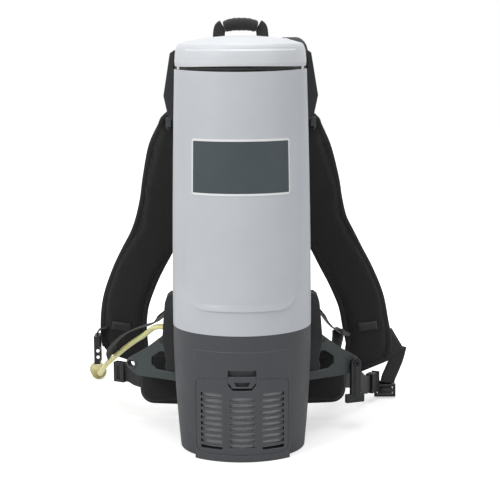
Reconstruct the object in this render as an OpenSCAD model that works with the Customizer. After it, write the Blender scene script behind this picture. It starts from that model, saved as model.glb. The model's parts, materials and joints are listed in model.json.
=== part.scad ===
// Backpack vacuum cleaner: a round dust tank over a motor base, carried by a
// moulded back frame with a padded harness. Millimetres, +Z up. The grille
// faces -Y, the wearer stands on the +Y side, and the origin is the centre of
// the base on the surface that it stands on.

/* [Body] */
// Height of the machine from the floor to the crown of the lid
body_h = 566; // [540:1:600]
// Height of the motor base
base_h = 172; // [160:1:190]
// Outer radius of the base where it meets the tank
base_r = 95.3; // [90:0.1:100]
// Outer radius of the base at the floor
foot_r = 86.5; // [80:0.1:90]
// Radius of the upright front zone of the base at the floor
front_r = 97.3; // [96:0.1:99]
// Outer radius of the tank at its widest
tank_r = 95.5; // [92:0.1:97]
// Outer radius of the tank at its rim
rim_r = 89.8; // [86:0.1:92]
// Height of the seam between tank and lid
seam_h = 4; // [3:0.5:6]
// Wall of the moulded shells
wall = 3; // [2.5:0.1:4]
// How far the front panel stands proud of the tank
panel_proud = 2.1; // [0.8:0.1:2.5]
// Half width of the raised front panel
panel_half_w = 73; // [60:1:78]

/* [Lid] */
// Height of the lid above the seam
lid_h = 40.5; // [36:0.5:48]
// Outer radius of the lid skirt
lid_r = 89.2; // [86:0.1:91]
// Depth of the skirt inside the tank
lid_skirt = 9; // [6:0.5:12]
// Turn of the hose port from straight back towards the right shoulder
port_turn = 36; // [30:1:40]
// Height of the port axis below the crown of the lid
port_drop = 25; // [24:0.5:27]
// Radius of the swivel spigot
spigot_r = 17; // [15:0.1:17.5]
// Inner radius of the cuff that takes the hose end
cuff_bore_r = 19.1; // [18:0.1:19.5]
// Depth of the socket for the hose end
cuff_depth = 24; // [20:1:28]

/* [Filter door] */
// Half width of the door
door_half_w = 62.5; // [58:0.5:64]
// Height of the lower edge of the door
door_z0 = 10; // [8:1:16]
// Height of the upper edge of the door at its sides
door_z1 = 110; // [104:1:114]
// Rise of the upper edge at the middle
door_crown = 4; // [0:0.5:5]
// Corner radius of the door
door_corner = 11; // [6:1:16]
// Width of each louvre gap
slot_h = 4.8; // [2.5:0.1:5]
// Spacing of the louvre gaps
slot_pitch = 8; // [7:0.5:10]
// Half width of the latch tab
latch_half_w = 18.5; // [15:0.5:20]
// Travel of the latch tab
latch_travel = 3; // [2:0.5:3]

/* [Motor] */
// Radius of the fan housing
fan_r = 70; // [60:1:74]
// Radius of the motor shaft
shaft_r = 4; // [3:0.5:5]
// Radius of the impeller
impeller_r = 62; // [52:1:64]

/* [Frame] */
// Thickness of the frame's panels
frame_t = 4; // [3:0.5:5]
// Half width of the back frame
frame_half_w = 73; // [70:1:76]
// Height of the bottom edge of the back frame
frame_bottom = 66; // [60:1:80]
// Angle by which the hip brackets sweep back
bracket_sweep = 22; // [15:1:26]
// Thickness of the hip bracket plate
bracket_t = 5; // [4:0.5:6]
// Radius of the eyelet in each hip bracket
eyelet_r = 5.5; // [4.5:0.1:6]
// Length of the hanging cord hook
hook_len = 54; // [50:1:60]

/* [Harness] */
// Width of the shoulder pads
pad_w = 72; // [60:1:76]
// Thickness of the shoulder pads
pad_t = 13; // [10:0.5:14]
// Width of the harness webbing
web_w = 25; // [20:1:28]
// Thickness of the harness webbing
web_t = 2.4; // [1.6:0.1:3]
// Height of the lumbar pad
lumbar_h = 80; // [70:1:84]
// Thickness of the lumbar pad
lumbar_t = 22; // [16:1:26]
// Thickness of the back pad
back_pad_t = 20; // [14:1:22]

/* [Lead] */
// Diameter of the power lead
cord_d = 8; // [7:0.5:9]
// Radius of the plug body
plug_r = 13; // [11:0.5:14]

/* [Hidden] */

$fn = 64;
fit = 0.3;                 // clearance between pieces that are only laid together
run = 0.06;                // radial clearance of a running fit
eps = 0.01;                // overlap that makes one solid of two shapes

grey_light = "#C9CDD2";
grey_base = "#55575A";
grey_slate = "#42474A";
plastic_dark = "#38393B";
fabric_black = "#1E1E1E";
seal_black = "#17181A";
cord_yellow = "#E6E9A8";
paper = "#CFC8B8";
steel = "#9A9DA0";

// ---- body levels, from the floor up -------------------------------------
deck_ledge_z = base_h - 22;              // top of the ledge that carries the deck
ledge_t = 6;
deck_t = 4;
gasket_t = 3;
spigot_z = deck_ledge_z + deck_t + gasket_t;   // bottom of the tank's spigot
body_r = max(base_r, tank_r);
grown = body_r - 95.5;                   // how far the body is wider than the middle size
spigot_out = min(base_r, tank_r) - wall - fit;
frame_y = body_r + 4.5;                  // front face of the back frame
frame_top = body_h - 54;
lid_z = body_h - lid_h;                  // lower edge of the lid
rim_z = lid_z - seam_h;                  // upper edge of the tank
collar_z = rim_z - 18;                   // top of the ledge that carries the bag
collar_t = 3;
flare_h = deck_ledge_z;                  // height over which the base tapers
panel_z0 = base_h + 33;                  // lower end of the raised front panel
panel_corner = 22;
zone_half_w = door_half_w + 1.5;         // half width of the base's front zone
zone_h = flare_h;

function lerp(a, b, t) = a + (b - a) * t;
function unit(v) = v / norm(v);
// outer radius of the base: tapered like a bowl towards the floor
function base_radius(z) = base_r - (base_r - foot_r) * pow(max(0, 1 - z / flare_h), 1.6);
// outer radius of the tank: widest above the base and drawn in to the rim
function tank_radius(z) = tank_r - (tank_r - rim_r) * pow(max(0, (z - base_h - 40) / (rim_z - base_h - 40)), 1.5);
// radius of the front zone of the base
function zone_radius(z) = lerp(front_r, base_r + 0.2, z / zone_h);

base_steps = [0, 16, 36, 62, 92, 122, flare_h, base_h];
tank_steps = [for (k = [0, 0.12, 0.28, 0.46, 0.64, 0.82, 1]) lerp(base_h, rim_z, k)];

// Points of a ring wall that follows an outer radius listed against height
function ring_wall(zs, outer, thick) = concat(
    [for (i = [0:len(zs) - 1]) [outer[i], zs[i]]],
    [for (i = [len(zs) - 1:-1:0]) [outer[i] - thick, zs[i]]]);

module tube(r_out, r_in, h) {
    difference() {
        cylinder(r = r_out, h = h);
        translate([0, 0, -1]) cylinder(r = r_in, h = h + 2);
    }
}

// A flat rounded bar between x = -w/2 and w/2, z = 0 and h, extruded along y
module round_rect(w, h, r) {
    translate([-w / 2 + r, 0]) square([w - 2 * r, h]);
    translate([-w / 2, r]) square([w, h - 2 * r]);
    for (sx = [-1, 1], sy = [0, 1])
        translate([sx * (w / 2 - r), sy == 0 ? r : h - r]) circle(r = r);
}

// Stands a flat outline up: its x stays x, its y becomes z, and it runs from
// y = y0 towards +Y by "depth"
module upright(y0, depth) {
    translate([0, y0 + depth, 0]) rotate([90, 0, 0]) linear_extrude(height = depth) children();
}

// ---- tank ----------------------------------------------------------------
module panel_outline() {
    top = lid_z + lid_h;
    translate([-panel_half_w, panel_z0 + panel_corner]) square([2 * panel_half_w, top - panel_z0 - panel_corner]);
    translate([-panel_half_w + panel_corner, panel_z0])
        square([2 * (panel_half_w - panel_corner), panel_corner + eps]);
    for (s = [-1, 1])
        translate([s * (panel_half_w - panel_corner), panel_z0 + panel_corner]) circle(r = panel_corner);
}

// The crescent that lets fingers in under the front of the lid: a very large
// cylinder that lies along Y and rises or dips at the middle of the seam
crescent_rise = 1.6;
crescent_half_w = 78;
crescent_r = (pow(crescent_half_w, 2) + pow(crescent_rise, 2)) / (2 * crescent_rise);

module tank_shell() {
    outer = [for (z = tank_steps) tank_radius(z)];
    proud = [for (z = tank_steps) tank_radius(z) + panel_proud];
    color(grey_light)
    difference() {
        union() {
            rotate_extrude() polygon(ring_wall(tank_steps, outer, wall));
            // spigot that drops into the base
            translate([0, 0, spigot_z])
                tube(spigot_out, spigot_out - wall, base_h - spigot_z + wall);
            translate([0, 0, base_h]) tube(tank_radius(base_h) - 1, spigot_out - wall, wall);
            // ledge that carries the bag collar
            translate([0, 0, collar_z - wall])
                tube(tank_radius(collar_z) - 1, tank_radius(collar_z) - wall - 7, wall);
            // raised front panel
            intersection() {
                rotate_extrude() polygon(ring_wall(tank_steps, proud, wall));
                upright(-front_r - 5, 90) panel_outline();
            }
            // pads on the back that the frame is screwed to
            for (z = frame_pad_heights) translate([0, 0, z]) back_pad_boss();
        }
        for (z = frame_pad_heights)
            translate([0, rim_r - 4 * wall, z + frame_pad_h / 2]) rotate([-90, 0, 0])
                cylinder(r = screw_r + fit, h = frame_y + 5 * wall - rim_r);
        translate([0, 0, rim_z + crescent_r - crescent_rise]) rotate([90, 0, 0])
            cylinder(r = crescent_r, h = front_r + 5, $fn = 360);
    }
}

frame_pad_heights = [for (k = [60, 158, 256]) base_h + k * (frame_top - base_h) / 340];
frame_pad_h = 26;
frame_pad_w = 60;
screw_r = 2.5;

module back_pad_boss() {
    intersection() {
        translate([-frame_pad_w / 2, tank_r - 14, 0]) cube([frame_pad_w, frame_y - tank_r + 14, frame_pad_h]);
        difference() {
            cylinder(r = 2 * tank_r, h = frame_pad_h);
            translate([0, 0, -1]) cylinder(r = tank_r - 2, h = frame_pad_h + 2);
        }
    }
    // web behind the boss so that it reaches the tapering wall
    intersection() {
        translate([-frame_pad_w / 2, rim_r - wall + 0.5, 0])
            cube([frame_pad_w, frame_y - rim_r + wall - 0.5, frame_pad_h]);
        difference() {
            cylinder(r = tank_r - 1, h = frame_pad_h);
            translate([0, 0, -1]) cylinder(r = rim_r - 0.5, h = frame_pad_h + 2);
        }
    }
}

module rim_gasket() {
    color(seal_black) translate([0, 0, rim_z])
        tube(rim_r - 1.8, rim_r - wall, seam_h);
}

module filter_bag() {
    bag_r = rim_r - wall - 9;
    bag_z0 = base_h + 26;
    color(paper) rotate_extrude() polygon([[0, bag_z0], [bag_r - 14, bag_z0], [bag_r, bag_z0 + 16],
        [bag_r + 2, bag_z0 + 120], [bag_r, collar_z - wall - 14], [bag_r - 16, collar_z - wall - fit],
        [0, collar_z - wall - fit]]);
}

module bag_collar() {
    color(paper) translate([0, 0, collar_z])
        tube(tank_radius(collar_z) - wall - 0.5, 32, collar_t);
    color(paper) translate([0, 0, collar_z - wall - fit])
        tube(36, 32, wall + fit + eps);
}

module motor_prefilter() {
    color("#6F7377") translate([0, 0, base_h + wall + fit])
        difference() {
            cylinder(r = tank_r - wall - fit, h = 18);
            for (a = [0:45:315]) rotate(a) translate([48, 0, 10]) cylinder(r = 9, h = 10);
        }
}

module motor_deck() {
    color(grey_base) translate([0, 0, deck_ledge_z]) difference() {
        cylinder(r = base_r - wall - fit, h = deck_t);
        translate([0, 0, -1]) cylinder(r = 24, h = deck_t + 2);
        for (a = [0:30:330]) rotate(a) translate([36, 0, -1]) cylinder(r = 4, h = deck_t + 2);
    }
}

module deck_gasket() {
    color(seal_black) translate([0, 0, deck_ledge_z + deck_t])
        tube(base_r - wall - fit, base_r - 2 * wall - 1, gasket_t);
}

// ---- base ----------------------------------------------------------------
door_gap = 0.6;
door_t = 4;                       // thickness of the door
door_seat = 3;                    // thickness of the ledge behind the door's edge
door_top = door_z1 + door_crown;
window_margin = 6;                // how far the air window lies inside the door's edge
latch_z0 = door_top - 12.5;       // bottom of the latch tab
latch_z1 = door_top + 2.8;        // top of the latch tab
recess_top = latch_z1 + 8.5;      // top of the finger recess over the tab
latch_t = 4;

// Outline of the door, grown by g all round: upright sides, round corners and
// an upper edge that is part of a large circle
module door_outline(g) {
    w = door_half_w + g;
    r = door_corner + g;
    arch_r = (pow(door_half_w, 2) + pow(door_crown, 2)) / (2 * max(door_crown, 0.1));
    intersection() {
        translate([0, door_z0 - g]) round_rect(2 * w, door_top - door_z0 + 2 * g, r);
        translate([0, door_top + g - arch_r]) circle(r = arch_r, $fn = 360);
    }
}

module latch_outline(g) {
    w = latch_half_w + g;
    polygon([[-w, latch_z1 + g], [w, latch_z1 + g], [w, latch_z0 + 7], [w - 6, latch_z0 - g],
        [-w + 6, latch_z0 - g], [-w, latch_z0 + 7]]);
}

// The curved slab of the base's front, from its surface inwards by "depth",
// starting "inset" below the surface
module front_slab(inset, depth) {
    rotate_extrude() polygon([[front_r - inset, -1], [front_r - inset - depth, -1],
        [zone_radius(zone_h) - inset - depth, zone_h], [zone_radius(zone_h) - inset, zone_h]]);
}

module base_housing() {
    outer = [for (z = base_steps) base_radius(z)];
    color(grey_base)
    difference() {
        union() {
            rotate_extrude() polygon(ring_wall(base_steps, outer, wall));
            // ledge for the motor deck
            translate([0, 0, deck_ledge_z - ledge_t])
                tube(base_radius(deck_ledge_z) - 1, base_radius(deck_ledge_z) - wall - 8, ledge_t);
            // ledge for the bottom cover
            translate([0, 0, cover_t]) tube(base_radius(0) - 1, base_radius(0) - wall - 6, 3);
            // upright front zone round the door
            intersection() {
                front_slab(0, door_t + door_seat + 5);
                upright(-front_r - 5, 70) translate([-zone_half_w, 0]) square([2 * zone_half_w, zone_h]);
            }
            translate([0, 0, base_boss_z]) base_boss();
        }
        // seat of the door, then the air window through the wall
        intersection() {
            front_slab(-5, door_t + 5);
            upright(-front_r - 5, 70) door_outline(door_gap);
        }
        upright(-front_r - 5, 70) intersection() {
            door_outline(-window_margin);
            translate([-60, 0]) square([120, door_top - window_margin - 8]);
        }
        // finger recess over the latch tab
        intersection() {
            front_slab(-5, door_t + 8);
            upright(-front_r - 5, 70) translate([-latch_half_w - 0.8, latch_z0])
                square([2 * latch_half_w + 1.6, recess_top - latch_z0]);
        }
        // holes for the switch, the lead and the frame screws
        rotate(switch_turn)
            translate([base_radius(switch_z) - 20, -switch_w / 2 - fit, switch_z - switch_h / 2 - fit])
            cube([40, switch_w + 2 * fit, switch_h + 2 * fit]);
        rotate(lead_turn) translate([base_r - wall - 4, 0, lead_z]) rotate([0, 90, 0])
            cylinder(r = lead_hole_r, h = 24);
        translate([0, frame_y - 30, base_boss_z + base_boss_h / 2])
            rotate([-90, 0, 0]) cylinder(r = screw_r + fit, h = 40);
    }
}

base_boss_z = 112;
base_boss_h = 22;

// pad on the back of the base that the frame is screwed to
module base_boss() {
    difference() {
        translate([-frame_pad_w / 2, base_r - 14, 0]) cube([frame_pad_w, frame_y - base_r + 14, base_boss_h]);
        translate([0, 0, -1]) cylinder(r = base_radius(base_boss_z) - wall / 2, h = base_boss_h + 2);
    }
}

cover_t = 4;
cover_screw_ring = foot_r - 16;

module bottom_cover() {
    color(grey_base) difference() {
        union() {
            cylinder(r = foot_r - wall - fit, h = cover_t);
            for (a = [45:90:315]) rotate(a) translate([cover_screw_ring, 0, cover_t - eps]) cylinder(r = 5, h = 8);
            translate([0, 0, cover_t - eps]) tube(30, 27, 12);
        }
        for (a = [45:90:315]) rotate(a) translate([cover_screw_ring, 0, -1]) {
            cylinder(r = screw_r + fit, h = 20);
            cylinder(r = 5, h = 3);
        }
    }
}

module cover_screws() {
    color(steel) for (a = [45:90:315]) rotate(a) translate([cover_screw_ring, 0, 0]) {
        translate([0, 0, 0.4]) difference() {
            cylinder(r = 4.6, h = 1.6);
            translate([-3, -0.5, -1]) cube([6, 1, 1.6]);
        }
        translate([0, 0, 1.9]) cylinder(r = screw_r, h = 9.5);
    }
}

// ---- filter door ------------------------------------------------------------
column_inner = 27;                // inner edge of the outer louvre columns
column_outer = 56;                // outer edge of the outer louvre columns
centre_half_w = 17;               // half width of the middle column
column_z0 = door_z0 + 6;
column_z1 = door_top - 14;
centre_z1 = latch_z0 - 11;

// One louvre column: gaps of "slot_h" at "slot_pitch" between two heights
module louvre_gaps(x0, x1, z0, z1) {
    count = floor((z1 - z0 - slot_h) / slot_pitch);
    for (i = [0:count])
        translate([x0, z0 + i * slot_pitch]) square([x1 - x0, slot_h]);
}

module filter_door() {
    color(grey_base) difference() {
        intersection() {
            front_slab(0.4, door_t - 0.4);
            upright(-front_r - 5, 70) door_outline(0);
        }
        upright(-front_r - 5, 70) {
            for (s = [-1, 1])
                louvre_gaps(s > 0 ? column_inner : -column_outer, s > 0 ? column_outer : -column_inner,
                    column_z0, column_z1);
            louvre_gaps(-centre_half_w, centre_half_w, column_z0 + 0.5 * slot_pitch - 1, centre_z1);
            latch_notch();
        }
    }
    // stiffening ribs that carry the filter cartridge
    color(grey_base) intersection() {
        front_slab(door_t - eps, 3);
        upright(-front_r - 5, 70) for (x = [-22, 22])
            translate([x - 1.5, door_z0 + 7]) square([3, latch_z0 - door_z0 - 16]);
    }
}

module latch_notch() {
    for (drop = [0, latch_travel]) translate([0, -drop]) latch_outline(0.5);
}

module exhaust_filter() {
    color("#B9BCBE") intersection() {
        difference() {
            front_slab(door_t + 3 + fit, 14);
            // pleats: grooves down the back of the panel
            for (a = [-34:4:34]) rotate(a) translate([-0.8, -front_r + door_t + 10, door_z0]) cube([1.6, 12, 110]);
        }
        upright(-front_r, 60) translate([-door_half_w + 8, door_z0 + 8])
            square([2 * door_half_w - 16, door_z1 - door_z0 - 26]);
    }
}

module door_latch() {
    color(grey_base) intersection() {
        front_slab(0.2, latch_t - 0.4);
        upright(-front_r - 5, 70) difference() {
            latch_outline(0);
            // scoop for a finger nail
            polygon([[-11, latch_z0 + 8], [11, latch_z0 + 8], [8, latch_z0 + 2], [-8, latch_z0 + 2]]);
        }
    }
}

// ---- switch ----------------------------------------------------------------
switch_turn = 25;
switch_z = 48;
switch_w = 14;
switch_h = 26;
rocker_tilt = 8;

module switch_bezel() {
    r = base_radius(switch_z);
    color(plastic_dark) rotate(switch_turn) difference() {
        union() {
            translate([r - 14, -switch_w / 2, switch_z - switch_h / 2]) cube([16, switch_w, switch_h]);
            translate([r + 1.4, -switch_w / 2 - 2.5, switch_z - switch_h / 2 - 2.5])
                cube([2.2, switch_w + 5, switch_h + 5]);
        }
        translate([r - 12, -switch_w / 2 + 2, switch_z - switch_h / 2 + 2]) cube([20, switch_w - 4, switch_h - 4]);
    }
}

module rocker() {
    r = base_radius(switch_z);
    h = switch_h - 5.2;
    color("#8C1F1F") rotate(switch_turn) translate([r - 3, 0, switch_z]) rotate([90, 0, 0])
        translate([0, 0, -(switch_w - 4.6) / 2]) linear_extrude(height = switch_w - 4.6)
            polygon([[-4, -h / 2 + 2], [3, -h / 2], [6, -h / 2 + 0.6], [4.2, 0], [6, h / 2 - 0.6], [3, h / 2],
                [-4, h / 2 - 2]]);
}

// ---- motor -----------------------------------------------------------------
fan_z1 = deck_ledge_z - ledge_t - 2;     // top of the fan housing
fan_h = 34;
fan_z0 = fan_z1 - fan_h;
impeller_z0 = fan_z0 + 6;
field_z = fan_z0 - 24;                   // middle of the field core
field_h = 34;
field_bore = 29;
bearing_r = 11;
bearing_h = 7;
lower_bearing_z = 40;
motor_arm_x = 44.5;                      // inner face of the arms that hold the field core

module fan_housing() {
    color(steel) difference() {
        translate([0, 0, fan_z0]) cylinder(r = fan_r, h = fan_h);
        translate([0, 0, fan_z0 + 2]) cylinder(r = fan_r - 2, h = fan_h - 4);
        translate([0, 0, fan_z1 - 3]) cylinder(r = 24, h = 5);
        translate([0, 0, fan_z0 - 1]) cylinder(r = bearing_r + run, h = 5);
        // outlet ports round the lower face
        for (a = [0:30:330]) rotate(a) translate([fan_r - 16, 0, fan_z0 - 1]) cylinder(r = 6, h = 4);
    }
}

module motor_mount() {
    color(seal_black) translate([0, 0, fan_z1]) difference() {
        cylinder(r = fan_r, h = deck_ledge_z - fan_z1);
        translate([0, 0, -1]) cylinder(r = fan_r - 12, h = 12);
    }
    // lower mount, seated in the ring of the bottom cover
    color(seal_black) {
        translate([0, 0, cover_t + run]) tube(18, 11, lower_bearing_z - 3 - cover_t - 2 * run);
        translate([0, 0, cover_t + run]) tube(27 - fit, 11, 6);
    }
}

module field_core() {
    color(steel) translate([0, 0, field_z - field_h / 2]) difference() {
        intersection() {
            cylinder(r = motor_arm_x + 3.5, h = field_h);
            translate([-motor_arm_x, -36, 0]) cube([2 * motor_arm_x, 72, field_h]);
        }
        translate([0, 0, -1]) cylinder(r = field_bore, h = field_h + 2);
    }
}

module motor_frame() {
    color(steel) {
        difference() {
            union() {
                translate([0, 0, lower_bearing_z - 3]) cylinder(r = 18, h = bearing_h + 3);
                for (a = [0, 180]) rotate(a) {
                    translate([10, -6, lower_bearing_z - 3]) cube([motor_arm_x - 4.5, 12, 6]);
                    translate([motor_arm_x, -6, lower_bearing_z - 3]) cube([5.5, 12, fan_z0 - lower_bearing_z + 3]);
                }
            }
            translate([0, 0, lower_bearing_z]) cylinder(r = bearing_r + run, h = bearing_h + 5);
            translate([0, 0, lower_bearing_z - 10]) cylinder(r = shaft_r + 1, h = 20);
        }
    }
}

module motor_bearings() {
    color(steel) for (z = [lower_bearing_z, fan_z0 - bearing_h + 2]) translate([0, 0, z])
        tube(bearing_r, shaft_r + run, bearing_h);
}

module brush_holders() {
    color("#8A6A32") for (a = [90, 270]) rotate(a)
        translate([13.5, -4, lower_bearing_z + bearing_h + 3]) cube([16, 8, 9]);
    // arms from the brush holders to the end frame
    color("#8A6A32") for (a = [90, 270]) rotate(a)
        translate([13.5, -3, lower_bearing_z + bearing_h]) cube([4, 6, 3 + eps]);
}

module armature_shaft() {
    color(steel) {
        translate([0, 0, lower_bearing_z - 2]) cylinder(r = shaft_r, h = fan_z1 - 12 - lower_bearing_z);
        translate([0, 0, field_z - field_h / 2 - 2]) cylinder(r = field_bore - 0.6, h = field_h - 2);
        translate([0, 0, lower_bearing_z + bearing_h + 1.5]) cylinder(r = 12.5, h = 12);
    }
}

blade_count = 7;

module impeller() {
    color("#B4B8BB") difference() {
        union() {
            translate([0, 0, impeller_z0]) cylinder(r = impeller_r, h = 1.6);
            translate([0, 0, impeller_z0 + 14]) tube(impeller_r, 22, 1.6);
            translate([0, 0, impeller_z0]) cylinder(r = 10, h = 12);
            // blades swept back from the eye to the rim
            for (i = [0:blade_count - 1]) rotate(360 * i / blade_count)
                translate([0, 0, impeller_z0 + 1]) intersection() {
                    difference() {
                        translate([34, 0, 0]) tube(30, 28.4, 13.5);
                        translate([0, -80, -1]) cube([80, 80, 20]);
                    }
                    cylinder(r = impeller_r - 1, h = 14);
                }
        }
        translate([0, 0, impeller_z0 - 1]) cylinder(r = shaft_r + 0.02, h = 30);
    }
}

// ---- lid -------------------------------------------------------------------
shoulder_h = 16;                  // height of the rounded shoulder
shoulder_w = 7.6;
dome_rise = lid_h - 15.5 - shoulder_h;

// Outline of the lid, r against height over its lower edge
function lid_outline(r) = concat(
    [[r - 0.6, 0], [r, 5], [r - 0.3, 11]],
    [for (a = [12:18:84]) [r - shoulder_w + (shoulder_w - 0.5) * cos(a), 15.5 - 4 + (shoulder_h + 3) * sin(a)]],
    [for (k = [0.86, 0.7, 0.5, 0.25, 0]) [(r - shoulder_w) * k, lid_h - dome_rise * pow(k, 2)]]);

port_r = spigot_r + 3.5;
port_z = body_h - port_drop;
port_start = 84;
port_end = 106;
cuff_end = port_end + 1 + cuff_depth + 1;
lug_turn = 68;                    // where the lid's locating lugs stand, from the front

module lid_shell() {
    color(grey_light) difference() {
        union() {
            translate([0, 0, lid_z]) rotate_extrude() polygon(concat(lid_outline(lid_r), [[0, 0]]));
            intersection() {
                translate([0, 0, lid_z]) rotate_extrude()
                    polygon(concat([for (p = lid_outline(lid_r)) if (p[1] < 22) [p[0] + panel_proud, p[1]]],
                        [[lid_r - 1.5, 23.5], [0, 23.5], [0, 0]]));
                upright(-front_r - 5, 90) translate([-panel_half_w, 0]) square([2 * panel_half_w, body_h]);
            }
            // skirt inside the tank's rim
            translate([0, 0, lid_z - seam_h - lid_skirt])
                tube(rim_r - wall - 1, rim_r - 2 * wall, lid_skirt + seam_h + 3);
            // boss of the hose port
            rotate(-port_turn) translate([0, port_start, port_z]) rotate([-90, 0, 0])
                cylinder(r = port_r, h = port_end - port_start);
        }
        // inside of the dome
        translate([0, 0, lid_z - 0.01]) rotate_extrude()
            polygon(concat([for (p = lid_outline(lid_r)) [max(0, p[0] - wall), max(0, p[1] - wall)]], [[0, 0]]));
        translate([0, 0, lid_z - seam_h - lid_skirt - 1]) cylinder(r = rim_r - 2 * wall, h = lid_skirt + seam_h + 3);
        rotate(-port_turn) translate([0, 40, port_z]) rotate([-90, 0, 0]) cylinder(r = spigot_r + run, h = 80);
        // crescent under the front edge
        translate([0, 0, lid_z - crescent_r + crescent_rise]) rotate([90, 0, 0])
            cylinder(r = crescent_r, h = front_r + 5, $fn = 360);
        // keep the boss clear of the tank's rim
        translate([0, 0, rim_z - 60]) difference() {
            cylinder(r = rim_r + 1.2, h = 60 + seam_h);
            translate([0, 0, -1]) cylinder(r = rim_r - wall - 0.5, h = 70);
        }
    }
    // lugs that locate the lid on the rim
    color(grey_light) for (s = [-1, 1]) rotate(s * lug_turn) translate([-3.5, -rim_r + 0.1, rim_z + fit])
        cube([7, 1.4, seam_h + 1]);
}

module hose_swivel() {
    color(plastic_dark) rotate(-port_turn) translate([0, 0, port_z]) rotate([-90, 0, 0]) difference() {
        union() {
            translate([0, 0, rim_r + 1]) cylinder(r = spigot_r, h = port_end - rim_r);
            translate([0, 0, port_end + fit]) cylinder(r = cuff_bore_r + 2.4, h = cuff_end - port_end - fit);
        }
        translate([0, 0, port_start - 1]) cylinder(r = spigot_r - 2.5, h = 60);
        translate([0, 0, cuff_end - cuff_depth]) cylinder(r = cuff_bore_r, h = cuff_depth + 1);
    }
}

// ---- back frame ------------------------------------------------------------
frame_clear = 1.2;                // gap between the tank or base and what wraps it
frame_wrap_y = 70;                // how far forward the frame's side flanges reach
ear_y = [28, 79 + grown];
post_y = [28, 56];
ear = [[frame_half_w - 2, 462], [frame_half_w - 2, 512], [88, 540], [91.5, 546], [97, 542], [106.5, 484],
    [100.5, 456], [94, 450]];
post = [[88, 97], [108.5, 97], [110, 102], [107.5, 110], [113.5, 140], [111, 172], [109, 194], [106, 203],
    [101, 207], [88, 207]];
post_arm_z = [184, 200];

// A closed outline drawn in towards a centre by a factor
function drawn_in(p, c, k) = [for (q = p) c + (q - c) * k];

// An outline whose outer points keep their distance from the body
function widened(p) = [for (q = p) q + [q[0] > frame_half_w + 5 ? grown : 0, 0]];

// Side panel that wraps the tank: a pocketed moulding open to the rear
module wrap_panel(outline, centre, ys, clear_r) {
    difference() {
        upright(ys[0], ys[1] - ys[0]) polygon(widened(outline));
        translate([0, 0, -body_h / 2]) cylinder(r = clear_r, h = 2 * body_h);
        difference() {
            upright(ys[0] + wall, ys[1] - ys[0]) polygon(drawn_in(widened(outline), centre + [grown, 0], 0.84));
            translate([0, 0, -body_h / 2]) cylinder(r = clear_r + wall, h = 2 * body_h);
        }
    }
}

module frame_side() {
    tank_clear = tank_r + frame_clear;
    base_clear = base_r + frame_clear;
    arm_y = frame_wrap_y - 18;           // front of the arm, which runs back past the flange's edge
    arm_w = 34 + grown;
    arm_d = 26 + grown;
    arm_h = post_arm_z[1] - post_arm_z[0];
    // flange that hugs the tank
    translate([frame_half_w - wall, frame_wrap_y, frame_bottom])
        cube([wall, frame_y + frame_t - frame_wrap_y, frame_top - frame_bottom]);
    translate([0, 0, frame_top - 512]) wrap_panel(ear, [97, 500], ear_y, tank_clear);
    wrap_panel(post, [104, 150], post_y, base_clear + 1);
    // arm from the side post back to the flange
    difference() {
        translate([frame_half_w - 1, arm_y, post_arm_z[0]]) cube([arm_w, arm_d, arm_h]);
        cylinder(r = base_clear + 1, h = body_h);
        translate([frame_half_w + wall, arm_y + 4, post_arm_z[0] + wall])
            cube([arm_w - 1 - 2 * wall, arm_d + 1, arm_h - 2 * wall]);
    }
}

module back_frame() {
    color(plastic_dark) difference() {
        union() {
            upright(frame_y, frame_t) translate([0, frame_bottom])
                round_rect(2 * frame_half_w, frame_top - frame_bottom, 10);
            frame_side();
            mirror([1, 0, 0]) frame_side();
            // bosses in the side posts for the bracket screws
            for (s = [-1, 1], h = bracket_screw_spots) bracket_place(s) translate([h[0], -14, h[1]])
                rotate([-90, 0, 0]) cylinder(r = 4.5, h = 14);
            // stiffening ribs up the back panel
            for (x = [-46, 46]) translate([x - 1.5, frame_y - 5, frame_bottom + 60])
                cube([3, 5 + eps, frame_top - frame_bottom - 110]);
        }
        for (z = [for (h = frame_pad_heights) h + frame_pad_h / 2])
            translate([0, frame_y - 20, z]) rotate([-90, 0, 0]) cylinder(r = screw_r + fit, h = 40);
        translate([0, frame_y - 20, base_boss_z + base_boss_h / 2]) rotate([-90, 0, 0])
            cylinder(r = screw_r + fit, h = 40);
        // lightening windows
        for (z = [152, 274, 372], x = [-20, 20]) upright(frame_y - 1, frame_t + 2)
            translate([x, z + 8]) round_rect(28, 40, 8);
        // slots that the handle's webbing passes through
        for (s = [-1, 1]) translate([s * handle_x - handle_w / 2 - 0.6, frame_y - 1, handle_slot_z])
            cube([handle_w + 1.2, frame_t + 2, 4]);
        for (s = [-1, 1]) bracket_place(s) translate([-14, 0, frame_bottom]) cube([54, 12, 84]);
        for (s = [-1, 1], h = bracket_screw_spots) bracket_place(s) translate([h[0], -12, h[1]])
            rotate([-90, 0, 0]) cylinder(r = screw_r - 0.3, h = 40);
        // way past the left post for the lead
        rotate(lead_turn) translate([base_r - 5, 0, lead_z]) rotate([0, 90, 0]) cylinder(r = lead_hole_r + 3, h = 40);
    }
}

module frame_screws() {
    color(steel) for (z = concat([base_boss_z + base_boss_h / 2], [for (h = frame_pad_heights) h + frame_pad_h / 2]))
        translate([0, frame_y, z]) rotate([-90, 0, 0]) {
            translate([0, 0, frame_t]) cylinder(r = 4.6, h = 0.25);
            translate([0, 0, -6]) cylinder(r = screw_r, h = 6 + frame_t + 0.1);
        }
}

// ---- hip brackets ------------------------------------------------------------
bracket_root = [body_r + 4.5, 53];         // where the plate's front face meets the post
bracket_outline = [[-10, 88], [-10, 76], [56, 79], [60, 81], [70, 88], [74, 96], [71, 104], [42, 121],
    [16, 141], [12, 141], [9, 128], [9, 118], [20, 118], [34, 108], [34, 96], [28, 90], [9, 88]];
eyelet = [66, 96];
rail_z = [76, 88];
bracket_screw_spots = [[10.5, 136]];

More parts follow.
